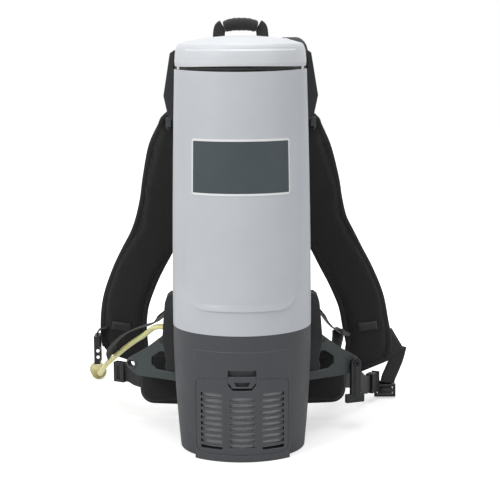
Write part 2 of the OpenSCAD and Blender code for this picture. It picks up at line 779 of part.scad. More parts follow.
module bracket_place(s) {
    if (s > 0) translate([bracket_root[0], bracket_root[1], 0]) rotate(bracket_sweep) children();
    else mirror([1, 0, 0]) translate([bracket_root[0], bracket_root[1], 0]) rotate(bracket_sweep) children();
}

module bracket_body() {
    difference() {
        union() {
            upright(0, bracket_t) polygon(bracket_outline);
            // rim along the top edge and the lower rail
            upright(0, 12) polygon([[16, 141], [42, 121], [71, 104], [69.5, 101.5], [41, 118], [15, 137.5]]);
            upright(0, 12) polygon([[-8, 79], [-8, 76], [56, 79], [60, 81], [59, 83.5], [55.5, 82]]);
            translate([eyelet[0], 0, eyelet[1]]) rotate([-90, 0, 0]) cylinder(r = eyelet_r + 3, h = 10);
            translate([eyelet[0], -1.5, eyelet[1]]) rotate([-90, 0, 0]) cylinder(r = eyelet_r + 2.2, h = 2);
        }
        translate([eyelet[0], -5, eyelet[1]]) rotate([-90, 0, 0]) cylinder(r = eyelet_r, h = 30);
        // room for the washer of a pin behind the eyelet
        translate([eyelet[0], 10, eyelet[1]]) rotate([-90, 0, 0]) cylinder(r = eyelet_r + 2 + fit, h = 5);
        for (h = bracket_screw_spots) translate([h[0], -12, h[1]]) rotate([-90, 0, 0])
            cylinder(r = screw_r + fit, h = 40);
    }
}

// rail that carries the bracket round the base to the frame's flange
module bracket_rail() {
    rail_r = body_r + frame_clear + 2.8;
    intersection() {
        translate([0, 0, rail_z[0]]) tube(rail_r + 5, rail_r, rail_z[1] - rail_z[0]);
        translate([frame_half_w, 48.5, 0]) cube([60, 60, body_h]);
    }
}

module hip_bracket(s) {
    color(grey_slate) {
        bracket_place(s) bracket_body();
        if (s > 0) bracket_rail(); else mirror([1, 0, 0]) bracket_rail();
    }
}
module hip_bracket_left() hip_bracket(-1);
module hip_bracket_right() hip_bracket(1);

module bracket_screws() {
    color(steel) for (s = [-1, 1], h = bracket_screw_spots) bracket_place(s)
        translate([h[0], 0, h[1]]) rotate([-90, 0, 0]) {
            translate([0, 0, bracket_t + 0.1]) cylinder(r = 4, h = 1.6);
            translate([0, 0, 0.5]) cylinder(r = screw_r, h = bracket_t);
        }
}

// ---- cord hook -----------------------------------------------------------------
hook_w = 15;
hook_foot_w = 28;
hook_foot_h = 12;
hook_t = 7;

module cord_hook() {
    color(plastic_dark) bracket_place(1) translate([eyelet[0], -1.5 - fit - hook_t, eyelet[1]]) difference() {
        union() {
            rotate([-90, 0, 0]) cylinder(r = eyelet_r + 2, h = hook_t);
            upright(0, hook_t) {
                translate([-hook_w / 2, -hook_len + 4]) square([hook_w, hook_len - 4]);
                translate([-hook_foot_w / 2 - 1, -hook_len - 4]) square([hook_foot_w, hook_foot_h]);
            }
            // ridge down the stem
            upright(-1.5, 3) translate([-2.2, -hook_len + 4]) square([4.4, hook_len - 10]);
        }
        translate([0, -5, 0]) rotate([-90, 0, 0]) cylinder(r = eyelet_r - 1.5 + 0.02, h = 30);
    }
}

module hook_pin() {
    color(steel) bracket_place(1) translate([eyelet[0], 0, eyelet[1]]) rotate([-90, 0, 0]) difference() {
        union() {
            translate([0, 0, -1.5 - fit - hook_t - 1.2]) cylinder(r = eyelet_r - 0.6, h = 1.2);
            translate([0, 0, -1.5 - fit - hook_t]) cylinder(r = eyelet_r - 1.5, h = hook_t);
            translate([0, 0, -1.5 - fit]) cylinder(r = eyelet_r - run, h = 12.3);
            translate([0, 0, 10 + fit]) cylinder(r = eyelet_r + 2, h = 1.5);
        }
        translate([0, 0, -1.5 - fit - hook_t - 2]) cylinder(r = 2, h = 3, $fn = 6);
    }
}

// ---- routes ---------------------------------------------------------------------
// A smooth route through listed points, "n" steps to a stretch
function spline(a, b, c, d, t) = 0.5 * (2 * b + (c - a) * t + (2 * a - 5 * b + 4 * c - d) * t * t
    + (3 * b - a - 3 * c + d) * t * t * t);
function route(p, n) = let (m = len(p) - 1) concat(
    [for (i = [0:m - 1], k = [0:n - 1]) spline(p[max(i - 1, 0)], p[i], p[i + 1], p[min(i + 2, m)], k / n)],
    [p[m]]);
function heading(q, i) = unit(q[min(i + 1, len(q) - 1)] - q[max(i - 1, 0)]);

// One closed solid swept along "q": "section" is a list of unit points, scaled
// by half widths "hw" across and half thicknesses "ht" through, and "side" is
// the direction that the width lies nearest to
module swept(q, section, hw, ht, side) {
    n = len(q);
    s = len(section);
    points = [for (i = [0:n - 1])
        let (t = heading(q, i), w = unit(side - (side * t) * t), u = cross(t, w))
        for (p = section) q[i] + w * p[0] * hw[i] + u * p[1] * ht[i]];
    quads = [for (i = [0:n - 2], k = [0:s - 1])
        let (a = i * s + k, b = i * s + (k + 1) % s, c = (i + 1) * s + (k + 1) % s, d = (i + 1) * s + k)
        each [[a, d, c], [a, c, b]]];
    caps = [for (k = [1:s - 2]) each [[0, k, k + 1], [(n - 1) * s, (n - 1) * s + k + 1, (n - 1) * s + k]]];
    polyhedron(points = points, faces = concat(quads, caps), convexity = 6);
}

// Sections: a round one, a flat one and the crowned one of a stuffed pad
function round_section(n) = [for (k = [0:n - 1]) [cos(360 * k / n), sin(360 * k / n)]];
flat_section = [[1, -1], [1, 1], [-1, 1], [-1, -1]];
function sgn_pow(v, e) = sign(v) * pow(abs(v), e);
function crowned_section(n) = [for (k = [0:n - 1]) let (a = 360 * k / n)
    [sgn_pow(cos(a), 0.75), sgn_pow(sin(a), 0.8)]];
function same(v, n) = [for (i = [0:n - 1]) v];
// fullness of a pad along its length: drawn in over the last rings at each end
function fullness(n, least) = [for (i = [0:n - 1]) let (e = min(i, n - 1 - i))
    e == 0 ? least : e == 1 ? lerp(least, 1, 0.7) : 1];

module webbing(p, n = 4, side = [0, 1, 0], w = web_w) {
    q = route(p, n);
    color(fabric_black) swept(q, flat_section, same(w / 2, len(q)), same(web_t / 2, len(q)), side);
}

module stuffed(p, n, w, t, side, sides = 14, least = 0.6) {
    q = route(p, n);
    f = fullness(len(q), least);
    color(fabric_black) swept(q, crowned_section(sides), [for (k = f) w / 2 * lerp(k, 1, 0.4)],
        [for (k = f) t / 2 * k], side);
}

// ---- harness ----------------------------------------------------------------------
seat_y = frame_y + frame_t + fit;        // plane that the pads rest against
hip_z = 150;                             // below this the harness keeps its height
pad_seat = 100 + frame_t + fit + pad_t / 2;
// Harness points are written for a frame at y = 100 whose top is at z = 512,
// and this fits them to the frame as it is
function fitted(p) = [for (q = p) [q[0], q[1] + frame_y - 100,
    q[2] < hip_z ? q[2] : hip_z + (q[2] - hip_z) * (frame_top - hip_z) / (512 - hip_z)]];
function fitted_point(q) = fitted([q])[0];
// The lifters keep their distance from the frame's top and ears instead
function lifted(p) = [for (q = p) [q[0] + sign(q[0]) * grown, q[1] + frame_y - 100, q[2] + frame_top - 512]];
shoulder_left = fitted([[-80, pad_seat, 466], [-82, pad_seat + 2, 438], [-100, 142, 402], [-112, 177, 352],
    [-118, 195, 318], [-127, 211, 283], [-138, 221, 254], [-153, 228, 226], [-167, 233, 197],
    [-181, 237, 158], [-186, 242, 122], [-185.5, 246, 96], [-185, 249, 80], [-190, 250, 64.5]]);
shoulder_right = fitted([[78, pad_seat, 466], [78, pad_seat + 2, 438], [95, 142, 400], [109, 177, 350],
    [115, 195, 317], [124, 211, 282], [138, 221, 253], [152, 228, 225], [167, 233, 196],
    [183, 237, 157], [190.5, 238, 119], [196, 237.5, 90], [194, 237, 67], [200, 236, 50]]);

module shoulder_pad_left() stuffed(shoulder_left, 2, pad_w, pad_t, [1, 0, 0]);
module shoulder_pad_right() stuffed(shoulder_right, 2, pad_w, pad_t, [1, 0, 0]);

module back_pad() {
    y = 100 + frame_t + fit + back_pad_t / 2;
    stuffed(fitted([for (z = [184, 206, 290, 380, 402]) [0, y, z]]), 3, 132, back_pad_t, [1, 0, 0]);
}

module lumbar_pad() {
    y = seat_y + lumbar_t / 2;
    z = 65;
    stuffed([[-152, y + 12, z], [-136, y + 8, z], [-104, y + 3, z], [-60, y, z], [0, y, z], [60, y, z],
        [104, y + 3, z], [136, y + 8, z], [152, y + 12, z]], 2, lumbar_h, lumbar_t, [0, 0, 1], 14, 0.45);
}

lifter_left = lifted([[-101, 58, 446.7], [-104, 74, 444.5], [-105, 92, 440], [-103, 107, 436]]);
module lifter_webbing_left() webbing(lifter_left, 3, [0, 0, 1], 12);
module lifter_webbing_right() mirror([1, 0, 0]) webbing(lifter_left, 3, [0, 0, 1], 12);
module lifter_slides() {
    color("#5E6468") for (s = [-1, 1]) translate(lifted([[s * 101, 50.5, 446.7]])[0]) difference() {
        cube([7, 14, 12], center = true);
        translate([0, 4.5, 0]) cube([web_t + 0.8, 12, 12.8 - eps], center = true);
    }
}

module lower_webbing_left() webbing(fitted([[-112.2, 57.5, 176.2], [-119, 84, 162], [-130, 110, 149],
    [-151, 139, 137],
    [-176, 170, 121], [-194, 194, 103], [-203, 212, 88], [-204, 225, 76]]), 3, [0.35, 1, 0]);
module lower_webbing_right() {
    webbing(fitted([[112.2, 57.5, 176.2], [119, 84, 160], [128, 108, 145], [141, 140, 131], [157, 175, 120],
        [172, 205, 112], [181, 226, 108]]), 3, [-0.35, 1, 0]);
}

module adjuster_webbing_left() webbing([each fitted([[-212, 242, 116], [-221, 241, 113.5], [-226, 240, 109.5]]),
    [lock_left_at[0], lock_left_at[1], lock_left_at[2] + 22.6]], 3, [0, 1, 0], 20);
module adjuster_webbing_right() webbing([each fitted([[224, 239, 104], [236, 240.5, 92], [242.5, 241.5, 75],
    [237.5, 242, 56], [226, 243, 41]]),
    [lock_right_at[0] + 1.5, lock_right_at[1], lock_right_at[2] + 19],
    [lock_right_at[0] + 1.5, lock_right_at[1], lock_right_at[2] + 11.8]], 3, [1, 0, 0], 22);

// Ladder lock: a frame "w" wide, "t" thick and "h" high round its middle, with
// two slots and the bar between them that the webbing threads over
module ladder_lock(w, t, h) {
    rail = 4;
    slot = (h - 3 * rail) / 2;
    difference() {
        translate([-w / 2, -t / 2, -h / 2]) cube([w, t, h]);
        for (z = [-h / 2 + rail, rail / 2])
            translate([-w / 2 + rail, -t, z]) cube([w - 2 * rail, 2 * t, slot]);
    }
}
lock_left_at = fitted_point([-227, 240, 82]);
eye_lean = [12.6, 6.2];                  // how the left lock's eyes lean down and inwards
lock_right_at = fitted_point([222, 243, 12]);
module ladder_lock_left() color(plastic_dark) translate(lock_left_at) rotate(90) difference() {
    ladder_lock(30, 9, 44);
    // eyes through the rails, leaning with the lock's slots
    for (z = [-4, -14]) translate([0, 0, z]) rotate([0, 90 + eye_lean[0], eye_lean[1]])
        cylinder(r = 2.4, h = 60, center = true);
}
module ladder_lock_right() color(plastic_dark) translate(lock_right_at) ladder_lock(33, 8, 20);

module waist_webbing_left() webbing(fitted([[-152, 126, 62], [-160, 132, 63], [-168, 137.6, 66.4],
    [-175.7, 142.75, 67]]), 3, [0, 0, 1], 28);
module waist_webbing_right() webbing(fitted([[152, 126, 60], [163, 143, 55], [176, 170, 46], [184, 188, 36],
    [189.6, 201, 31], [194.4, 210.6, 30]]), 3, [0, 0, 1], 28);

module waist_buckle_left() {
    color(plastic_dark) translate(fitted_point([-184, 148, 67])) rotate([0, 0, -32]) difference() {
        translate([-9, -5, -15]) cube([18, 10, 30]);
        translate([-4, -6, -11]) cube([7, 12, 22]);
    }
}
module waist_buckle_right() {
    // socket half: open at its far end for the prongs of the other half
    color(plastic_dark) translate(fitted_point([201, 223, 30])) rotate([0, 0, 62]) difference() {
        translate([-13, -6, -15]) cube([26, 12, 30]);
        translate([-8, -3.5, -11]) cube([30, 7, 22]);
        for (s = [-1, 1]) translate([2, -8, s * 15 - 3]) cube([8, 16, 6]);
    }
}

// ---- lead --------------------------------------------------------------------------
lead_turn = 148;
lead_z = deck_ledge_z + 1.2;
lead_hole_r = 6;
lead_exit = 121.4;                // distance from the axis at which the cord comes free
cord_route = [[-103.5, 64.7, lead_z], [-108.6, 67.9, lead_z], [-115.7, 73.2, lead_z - 0.5], [-121.9, 79.5, lead_z - 1.8],
    [-126.9, 86.5, lead_z - 4], [-130.5, 94.1, lead_z - 6.9], [-134.4, 104.6, 139.8], [-148.5, 142, 123],
    [-159, 163, 113], [-170, 183, 102.3], [-181, 202, 91], [-191.5, 220, 79.5], [-201, 237, 68.8], [-209, 253, 59.5],
    [-216, 270, 50.7], [-222, 289, 41.3], [-227.5, 309, 31.5], [-231.8, 329, 22.5], [-234.8, 345, 16.6],
    [-236.2, 353, 14.4], [-237, 359, 13.5]];

module strain_relief() {
    color(cord_yellow) rotate(lead_turn) translate([0, 0, lead_z]) rotate([0, 90, 0]) difference() {
        union() {
            translate([0, 0, base_r - wall + 0.4]) cylinder(r = lead_hole_r - fit, h = wall + 0.6);
            translate([0, 0, base_r + 0.4]) cylinder(r = lead_hole_r + 2, h = 3);
            translate([0, 0, base_r + 3])
                cylinder(r1 = lead_hole_r + 1, r2 = cord_d / 2 + 1, h = lead_exit - base_r - 3);
        }
        translate([0, 0, base_r - wall - 5]) cylinder(r = cord_d / 2 - 1, h = 10);
    }
}

module power_cord() {
    q = route(cord_route, 2);
    color(cord_yellow) swept(q, round_section(10), same(cord_d / 2, len(q)), same(cord_d / 2, len(q)), [0, 0, 1]);
}

plug_heading = atan2(8, -2);
module cord_plug() {
    color("#D9D07A") translate(cord_route[len(cord_route) - 1]) rotate(plug_heading) rotate([0, 90, 0]) {
        translate([0, 0, 1.2]) cylinder(r1 = cord_d / 2 + 1.5, r2 = plug_r - 2, h = 8.8);
        translate([0, 0, 10 - eps]) cylinder(r = plug_r, h = 24);
        for (y = [-6, 6]) translate([-1, y - 0.8, 34 - eps]) cube([6, 1.6, 17]);
        translate([-7, 0, 34 - eps]) cylinder(r = 2.4, h = 19);
    }
}

// ---- carry handle ------------------------------------------------------------------
handle_x = 27;                    // how far each end of the webbing lies from the middle
handle_w = 17;
handle_slot_z = frame_top - 16;
grip_top = frame_top + 78;
grip_d = 18;
grip_y = frame_y + 2;

module handle_webbing() {
    for (s = [-1, 1]) webbing([[s * handle_x, seat_y + web_t / 2, frame_top - 40],
        [s * handle_x, seat_y + web_t / 2, frame_top - 4],
        [s * 29, grip_y + 1, frame_top + 26], [s * 31, grip_y, grip_top - 30],
        [s * 29.5, grip_y, grip_top - 15], [s * 25, grip_y, grip_top - 11]], 3, [1, 0, 0], handle_w);
}

module handle_grip() {
    z = grip_top - grip_d / 2;
    p = [[-24, grip_y, z - 3], [-12, grip_y, z - 0.5], [0, grip_y, z], [12, grip_y, z - 0.5], [24, grip_y, z - 3.5]];
    q = route(p, 3);
    color("#2A2A2A") swept(q, round_section(16), same(10.5, len(q)),
        [for (i = [0:len(q) - 1]) grip_d / 2 * (1 - 0.12 * pow(2 * i / (len(q) - 1) - 1, 2))], [0, 1, 0]);
}

// ---- pieces, one node each ------------------------------------------------------
tank_shell();
base_housing();
bottom_cover();
cover_screws();
motor_deck();
deck_gasket();
rim_gasket();
filter_bag();
bag_collar();
motor_prefilter();
fan_housing();
field_core();
motor_frame();
motor_bearings();
brush_holders();
motor_mount();
armature_shaft();
impeller();
filter_door();
exhaust_filter();
door_latch();
switch_bezel();
rocker();
strain_relief();
power_cord();
cord_plug();
back_frame();
frame_screws();
hip_bracket_left();
hip_bracket_right();
bracket_screws();
cord_hook();
hook_pin();
back_pad();
lumbar_pad();
shoulder_pad_left();
shoulder_pad_right();
lifter_webbing_left();
lifter_webbing_right();
lifter_slides();
lower_webbing_left();
lower_webbing_right();
adjuster_webbing_left();
adjuster_webbing_right();
ladder_lock_left();
ladder_lock_right();
waist_webbing_left();
waist_webbing_right();
waist_buckle_left();
waist_buckle_right();
handle_webbing();
handle_grip();
lid_shell();
hose_swivel();
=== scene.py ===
"""Dresses the backpack vacuum cleaner: studio, finishes, lead, harness and trim."""

import json
import logging
from dataclasses import dataclass, field
from enum import Enum
from functools import partial
from math import copysign, cos, radians, sin, sqrt, tau
from typing import Any, Callable, ClassVar, Sequence

import bmesh
import bpy
from bpy.types import Material, Node, NodeSocket, NodeTree, Object
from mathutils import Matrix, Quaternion, Vector
from mathutils.bvhtree import BVHTree

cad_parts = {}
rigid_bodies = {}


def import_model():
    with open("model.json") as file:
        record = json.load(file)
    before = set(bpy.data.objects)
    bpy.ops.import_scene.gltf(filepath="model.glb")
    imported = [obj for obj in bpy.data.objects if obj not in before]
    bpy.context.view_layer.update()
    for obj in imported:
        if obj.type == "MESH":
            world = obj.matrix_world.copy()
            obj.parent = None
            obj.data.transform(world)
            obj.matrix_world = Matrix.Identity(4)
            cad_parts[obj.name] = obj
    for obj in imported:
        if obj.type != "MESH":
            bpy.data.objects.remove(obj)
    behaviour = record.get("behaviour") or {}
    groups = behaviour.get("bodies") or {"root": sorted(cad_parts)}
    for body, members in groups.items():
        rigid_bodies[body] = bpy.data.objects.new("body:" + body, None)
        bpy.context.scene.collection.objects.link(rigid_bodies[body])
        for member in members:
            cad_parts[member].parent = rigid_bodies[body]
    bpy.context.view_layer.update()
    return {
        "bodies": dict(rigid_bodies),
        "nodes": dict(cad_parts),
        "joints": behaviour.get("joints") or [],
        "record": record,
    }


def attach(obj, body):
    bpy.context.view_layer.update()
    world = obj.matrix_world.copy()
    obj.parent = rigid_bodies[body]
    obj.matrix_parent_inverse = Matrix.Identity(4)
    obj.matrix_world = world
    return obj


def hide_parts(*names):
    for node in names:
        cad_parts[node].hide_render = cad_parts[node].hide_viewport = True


log = logging.getLogger("backpack_vacuum")

MM = 0.001  # one millimetre in metres
Point = tuple[float, float, float]
Path = Sequence[Vector]
Face = tuple[int, ...]
Section = list[tuple[float, float]]
Inputs = dict[str, Any]
Adder = Callable[..., Node]


# ---- colour, nodes and meshes ----


def linear(hex_colour: str) -> tuple[float, float, float, float]:
    """Turns an sRGB hex colour to linear RGBA.

    Args:
        hex_colour: A colour such as "#C9CDD2".

    Returns:
        The colour as linear red, green, blue and an alpha of 1.
    """
    values = [int(hex_colour[i : i + 2], 16) / 255 for i in (1, 3, 5)]
    r, g, b = [v / 12.92 if v <= 0.04045 else ((v + 0.055) / 1.055) ** 2.4 for v in values]
    return r, g, b, 1.0


def add_node(tree: NodeTree, kind: str, inputs: dict | None = None, **settings: Any) -> Node:
    """Adds one node, with its settings, constants and links.

    Args:
        tree: The node tree that the node joins.
        kind: The node's Blender type, less its "ShaderNode".
        inputs: What goes into each input, by name or index: a constant, a socket, or a node that
            gives its first output.
        **settings: Properties of the node itself.

    Returns:
        The new node.
    """
    node = tree.nodes.new(f"ShaderNode{kind}")
    for key, value in settings.items():
        setattr(node, key, value)
    for key, value in (inputs or {}).items():
        if isinstance(value, Node):
            value = value.outputs[0]
        if isinstance(value, NodeSocket):
            tree.links.new(value, node.inputs[key])
        else:
            node.inputs[key].default_value = value
    return node


def set_stops(ramp: Node, stops: Sequence[tuple[float, str]]) -> None:
    """Sets a colour ramp's stops.

    Args:
        ramp: The colour ramp node.
        stops: Each stop's position from 0 to 1 and its sRGB hex colour.
    """
    elements = ramp.color_ramp.elements
    while len(elements) < len(stops):
        elements.new(1.0)
    for element, (position, colour) in zip(elements, stops):
        element.position = position
        element.color = linear(colour)


def new_material(name: str) -> tuple[Material, Adder]:
    """Starts an empty node material.

    Args:
        name: The material's name.

    Returns:
        The material, and the function that adds a node to it.
    """
    material = bpy.data.materials.new(name)
    material.use_nodes = True
    material.node_tree.nodes.clear()
    return material, partial(add_node, material.node_tree)


def mesh_object(name: str, vertices: Sequence[Sequence[float]], faces: Sequence[Sequence[int]],
                material: Material, smooth: bool = True) -> Object:
    """Makes a mesh object from vertices and faces, with its normals outward.

    Args:
        name: The object's name.
        vertices: Points in metres.
        faces: Vertex indices, face by face.
        material: The finish of every face.
        smooth: Whether the faces are shaded smooth.

    Returns:
        The object, linked to the scene.
    """
    mesh = bpy.data.meshes.new(name)
    mesh.from_pydata([tuple(v) for v in vertices], [], [tuple(f) for f in faces])
    bm = bmesh.new()
    bm.from_mesh(mesh)
    bmesh.ops.recalc_face_normals(bm, faces=bm.faces)
    bm.to_mesh(mesh)
    bm.free()
    mesh.polygons.foreach_set("use_smooth", [smooth] * len(mesh.polygons))
    mesh.materials.append(material)
    made = bpy.data.objects.new(name, mesh)
    bpy.context.scene.collection.objects.link(made)
    return made


def route(points: Sequence[Point], steps: int) -> list[Vector]:
    """Runs a smooth curve through listed points.

    Args:
        points: Points in millimetres.
        steps: Steps between two neighbouring points.

    Returns:
        The curve's points, in metres.
    """
    p = [Vector(q) * MM for q in points]
    last = len(p) - 1
    out = []
    for i in range(last):
        a, b, c, d = p[max(i - 1, 0)], p[i], p[i + 1], p[min(i + 2, last)]
        for k in range(steps):
            t = k / steps
            out.append(0.5 * (2 * b + (c - a) * t + (2 * a - 5 * b + 4 * c - d) * t**2
                              + (3 * b - a - 3 * c + d) * t**3))
    return out + [p[last]]


def frames(path: Path, side: Sequence[float]) -> list[tuple[Vector, Vector, Vector]]:
    """Finds the direction, width and thickness axes at each point of a path.

    Args:
        path: The path's points, in metres.
        side: The direction that the width lies nearest to.

    Returns:
        The heading, the width axis and the thickness axis at each point.
    """
    out = []
    for i in range(len(path)):
        heading = (path[min(i + 1, len(path) - 1)] - path[max(i - 1, 0)]).normalized()
        wide = Vector(side)
        wide = (wide - heading * wide.dot(heading)).normalized()
        out.append((heading, wide, heading.cross(wide)))
    return out


def distances(points: Path, unit: float = 1.0) -> list[float]:
    """Measures how far along a path its points lie.

    Args:
        points: The path's points, in metres.
        unit: The unit to measure in, in metres.

    Returns:
        Each point's distance from the first.
    """
    along = [0.0]
    for a, b in zip(points, points[1:]):
        along.append(along[-1] + (b - a).length / unit)
    return along


def pillow(half_w: float, half_t: float, powers: tuple[float, float], count: int) -> Section:
    """Draws a section that is rounder or squarer than an ellipse.

    Args:
        half_w: Half its width, in millimetres.
        half_t: Half its thickness, in millimetres.
        powers: How square it is across and through, where 1 is an ellipse and less is squarer.
        count: How many points it has.

    Returns:
        Its points, in metres.
    """
    turns = [tau * k / count for k in range(count)]
    return [(copysign(abs(cos(t)) ** powers[0], cos(t)) * half_w * MM,
             copysign(abs(sin(t)) ** powers[1], sin(t)) * half_t * MM) for t in turns]


def tube_faces(rings: int, n: int, closed: bool = False) -> list[Face]:
    """Joins rings of vertices, one after the other, into a tube without ends.

    Args:
        rings: How many rings there are.
        n: How many vertices each has.
        closed: Whether the last ring joins the first.

    Returns:
        The tube's faces.
    """
    return [(i * n + k, i * n + (k + 1) % n, (i + 1) % rings * n + (k + 1) % n, (i + 1) % rings * n + k)
            for i in range(rings if closed else rings - 1) for k in range(n)]


def sheet_faces(columns: int, rows: int) -> list[Face]:
    """Joins two equal grids of vertices, the front one first, into a thin sheet with a rim.

    Args:
        columns: Cells across.
        rows: Cells down.

    Returns:
        The sheet's faces.
    """
    row, back = columns + 1, (columns + 1) * (rows + 1)
    faces: list[Face] = []
    for r in range(rows):
        for c in range(columns):
            a = r * row + c
            b = back + a
            faces += [(a, a + 1, a + row + 1, a + row), (b, b + row, b + row + 1, b + 1)]
    rim = [*range(columns), *(r * row + columns for r in range(rows)),
           *(rows * row + c for c in range(columns, 0, -1)), *(r * row for r in range(rows, 0, -1))]
    return faces + [(a, b, back + b, back + a) for a, b in zip(rim, rim[1:] + rim[:1])]


def lay_uv(piece: Object, place: Callable[[int], tuple[float, float]]) -> None:
    """Gives a piece a UV map.

    Args:
        piece: The piece.
        place: Gives a vertex's place on the flat cloth, in metres, by the vertex's number.
    """
    layer = piece.data.uv_layers.new(name="UVMap")
    for loop in piece.data.loops:
        layer.data[loop.index].uv = place(loop.vertex_index)


def cover_of(piece: Object) -> BVHTree:
    """Gives a piece's surface, for rays to be cast at."""
    mesh = piece.data
    return BVHTree.FromPolygons([v.co for v in mesh.vertices], [p.vertices for p in mesh.polygons])


def swept(name: str, path: Path, section: Callable[[float], Section],
          side: Sequence[float], material: Material) -> Object:
    """Sweeps a closed section along a path, with capped ends and a UV in metres.

    Args:
        name: The object's name.
        path: The path's points, in metres.
        section: Gives the section's points, in metres, at a place from 0 to 1 along the path.
        side: The direction that the width lies nearest to.
        material: The finish.

    Returns:
        The swept object.
    """
    vertices = []
    n = len(section(0.0))
    for i, (_, wide, thick) in enumerate(frames(path, side)):
        vertices += [path[i] + wide * a + thick * b for a, b in section(i / (len(path) - 1))]
    faces = tube_faces(len(path), n)
    faces += [tuple(range(n - 1, -1, -1)), tuple(range((len(path) - 1) * n, len(path) * n))]
    made = mesh_object(name, vertices, faces, material)
    along = distances(path)
    across = [p[0] for p in section(0.5)]
    lay_uv(made, lambda v: (along[v // n], across[v % n]))
    return made


# ---- finishes ----

WAVE = 6.283  # a wave of scale 1 / (WAVE * m) has pale and dark bands of about m metres each
# scales of noise, each one over the size of its patches in metres
DRIFT_SCALE = 9.0  # 110 mm, the slow drift of a moulding's colour
SCUFF_SCALE = 60.0  # 17 mm, scuffs that break a moulding's sheen
RUB_SCALE = 22.0  # 45 mm, dust and rubbing that lift the black of cloth
MARK_SCALE = 70.0  # 14 mm, marks on vinyl
TOOL_SCALE = 220.0  # 4.5 mm, lines of a tool on metal
TOOL_STRETCH = (1.0, 1.0, 14.0)
# painted highlight: the pale colour that a moulding's edges are mixed towards
EDGE_HIGHLIGHT = (0.7, 0.71, 0.73, 1.0)


@dataclass(frozen=True)
class Surface:
    """What every finish has: a name, and the two colours that its pattern runs between."""

    name: str
    colour: str
    shade: str
    laid_by: ClassVar[str] = "Object"

    def drawn(self, add: Adder, place: NodeSocket) -> Inputs:
        """Draws the finish's pattern.

        Args:
            add: Adds a node.
            place: The place on the piece.

        Returns:
            The shader's inputs, by name.
        """
        raise NotImplementedError

    def build(self) -> Material:
        """Makes the material.

        Returns:
            The material.
        """
        material, add = new_material(self.name)
        place = add("TexCoord").outputs[self.laid_by]
        shader = add("BsdfPrincipled", self.drawn(add, place))
        add("OutputMaterial", {"Surface": shader})
        return material


@dataclass(frozen=True)
class MouldedPlastic(Surface):
    """Injection-moulded plastic: a fine spark-eroded grain and a soft, even sheen."""

    roughness: float = 0.45
    grain_mm: float = 0.9  # the real grain is drawn coarser, so that it shows
    grain_depth: float = 0.05
    edge_mm: float = 0.7
    ior: float = 1.5
    edge_light: float = 0.3

    def drawn(self, add: Adder, place: NodeSocket) -> Inputs:
        """Draws the drift of the colour, the mould's grain, scuffs and a painted highlight along the edges.

        Args:
            add: Adds a node.
            place: The place on the piece.

        Returns:
            The shader's inputs, by name.
        """
        drift = add("TexNoise", {"Vector": place, "Scale": DRIFT_SCALE, "Detail": 4.0, "Roughness": 0.6})
        tint = add("ValToRGB", {"Fac": drift})
        set_stops(tint, [(0.3, self.shade), (0.7, self.colour)])
        grain = add("TexNoise", {
            "Vector": place, "Scale": 1 / (self.grain_mm * MM), "Detail": 2.0, "Roughness": 0.5})
        scuff = add("TexNoise", {"Vector": place, "Scale": SCUFF_SCALE, "Detail": 6.0, "Roughness": 0.7})
        rough = add("MapRange", {
            "Value": scuff, "From Min": 0.3, "From Max": 0.7,
            "To Min": self.roughness - 0.06, "To Max": self.roughness + 0.08})
        edge = add("Bevel", {"Radius": self.edge_mm * MM}, samples=4)
        # where the bevel turns the face's own normal, the edge gets a painted highlight, a little paler
        flat = add("NewGeometry").outputs["Normal"]
        turned = add("VectorMath", {0: edge, 1: flat}, operation="DOT_PRODUCT").outputs["Value"]
        painted_highlight = add("MapRange", {
            "Value": turned, "From Min": 0.99, "From Max": 0.8, "To Max": self.edge_light})
        tint = add("MixRGB", {"Fac": painted_highlight, "Color1": tint, "Color2": EDGE_HIGHLIGHT})
        bump = add("Bump", {
            "Height": grain, "Strength": self.grain_depth * 4, "Distance": self.grain_depth * MM,
            "Normal": edge})
        return {"Base Color": tint, "Roughness": rough, "IOR": self.ior, "Normal": bump}


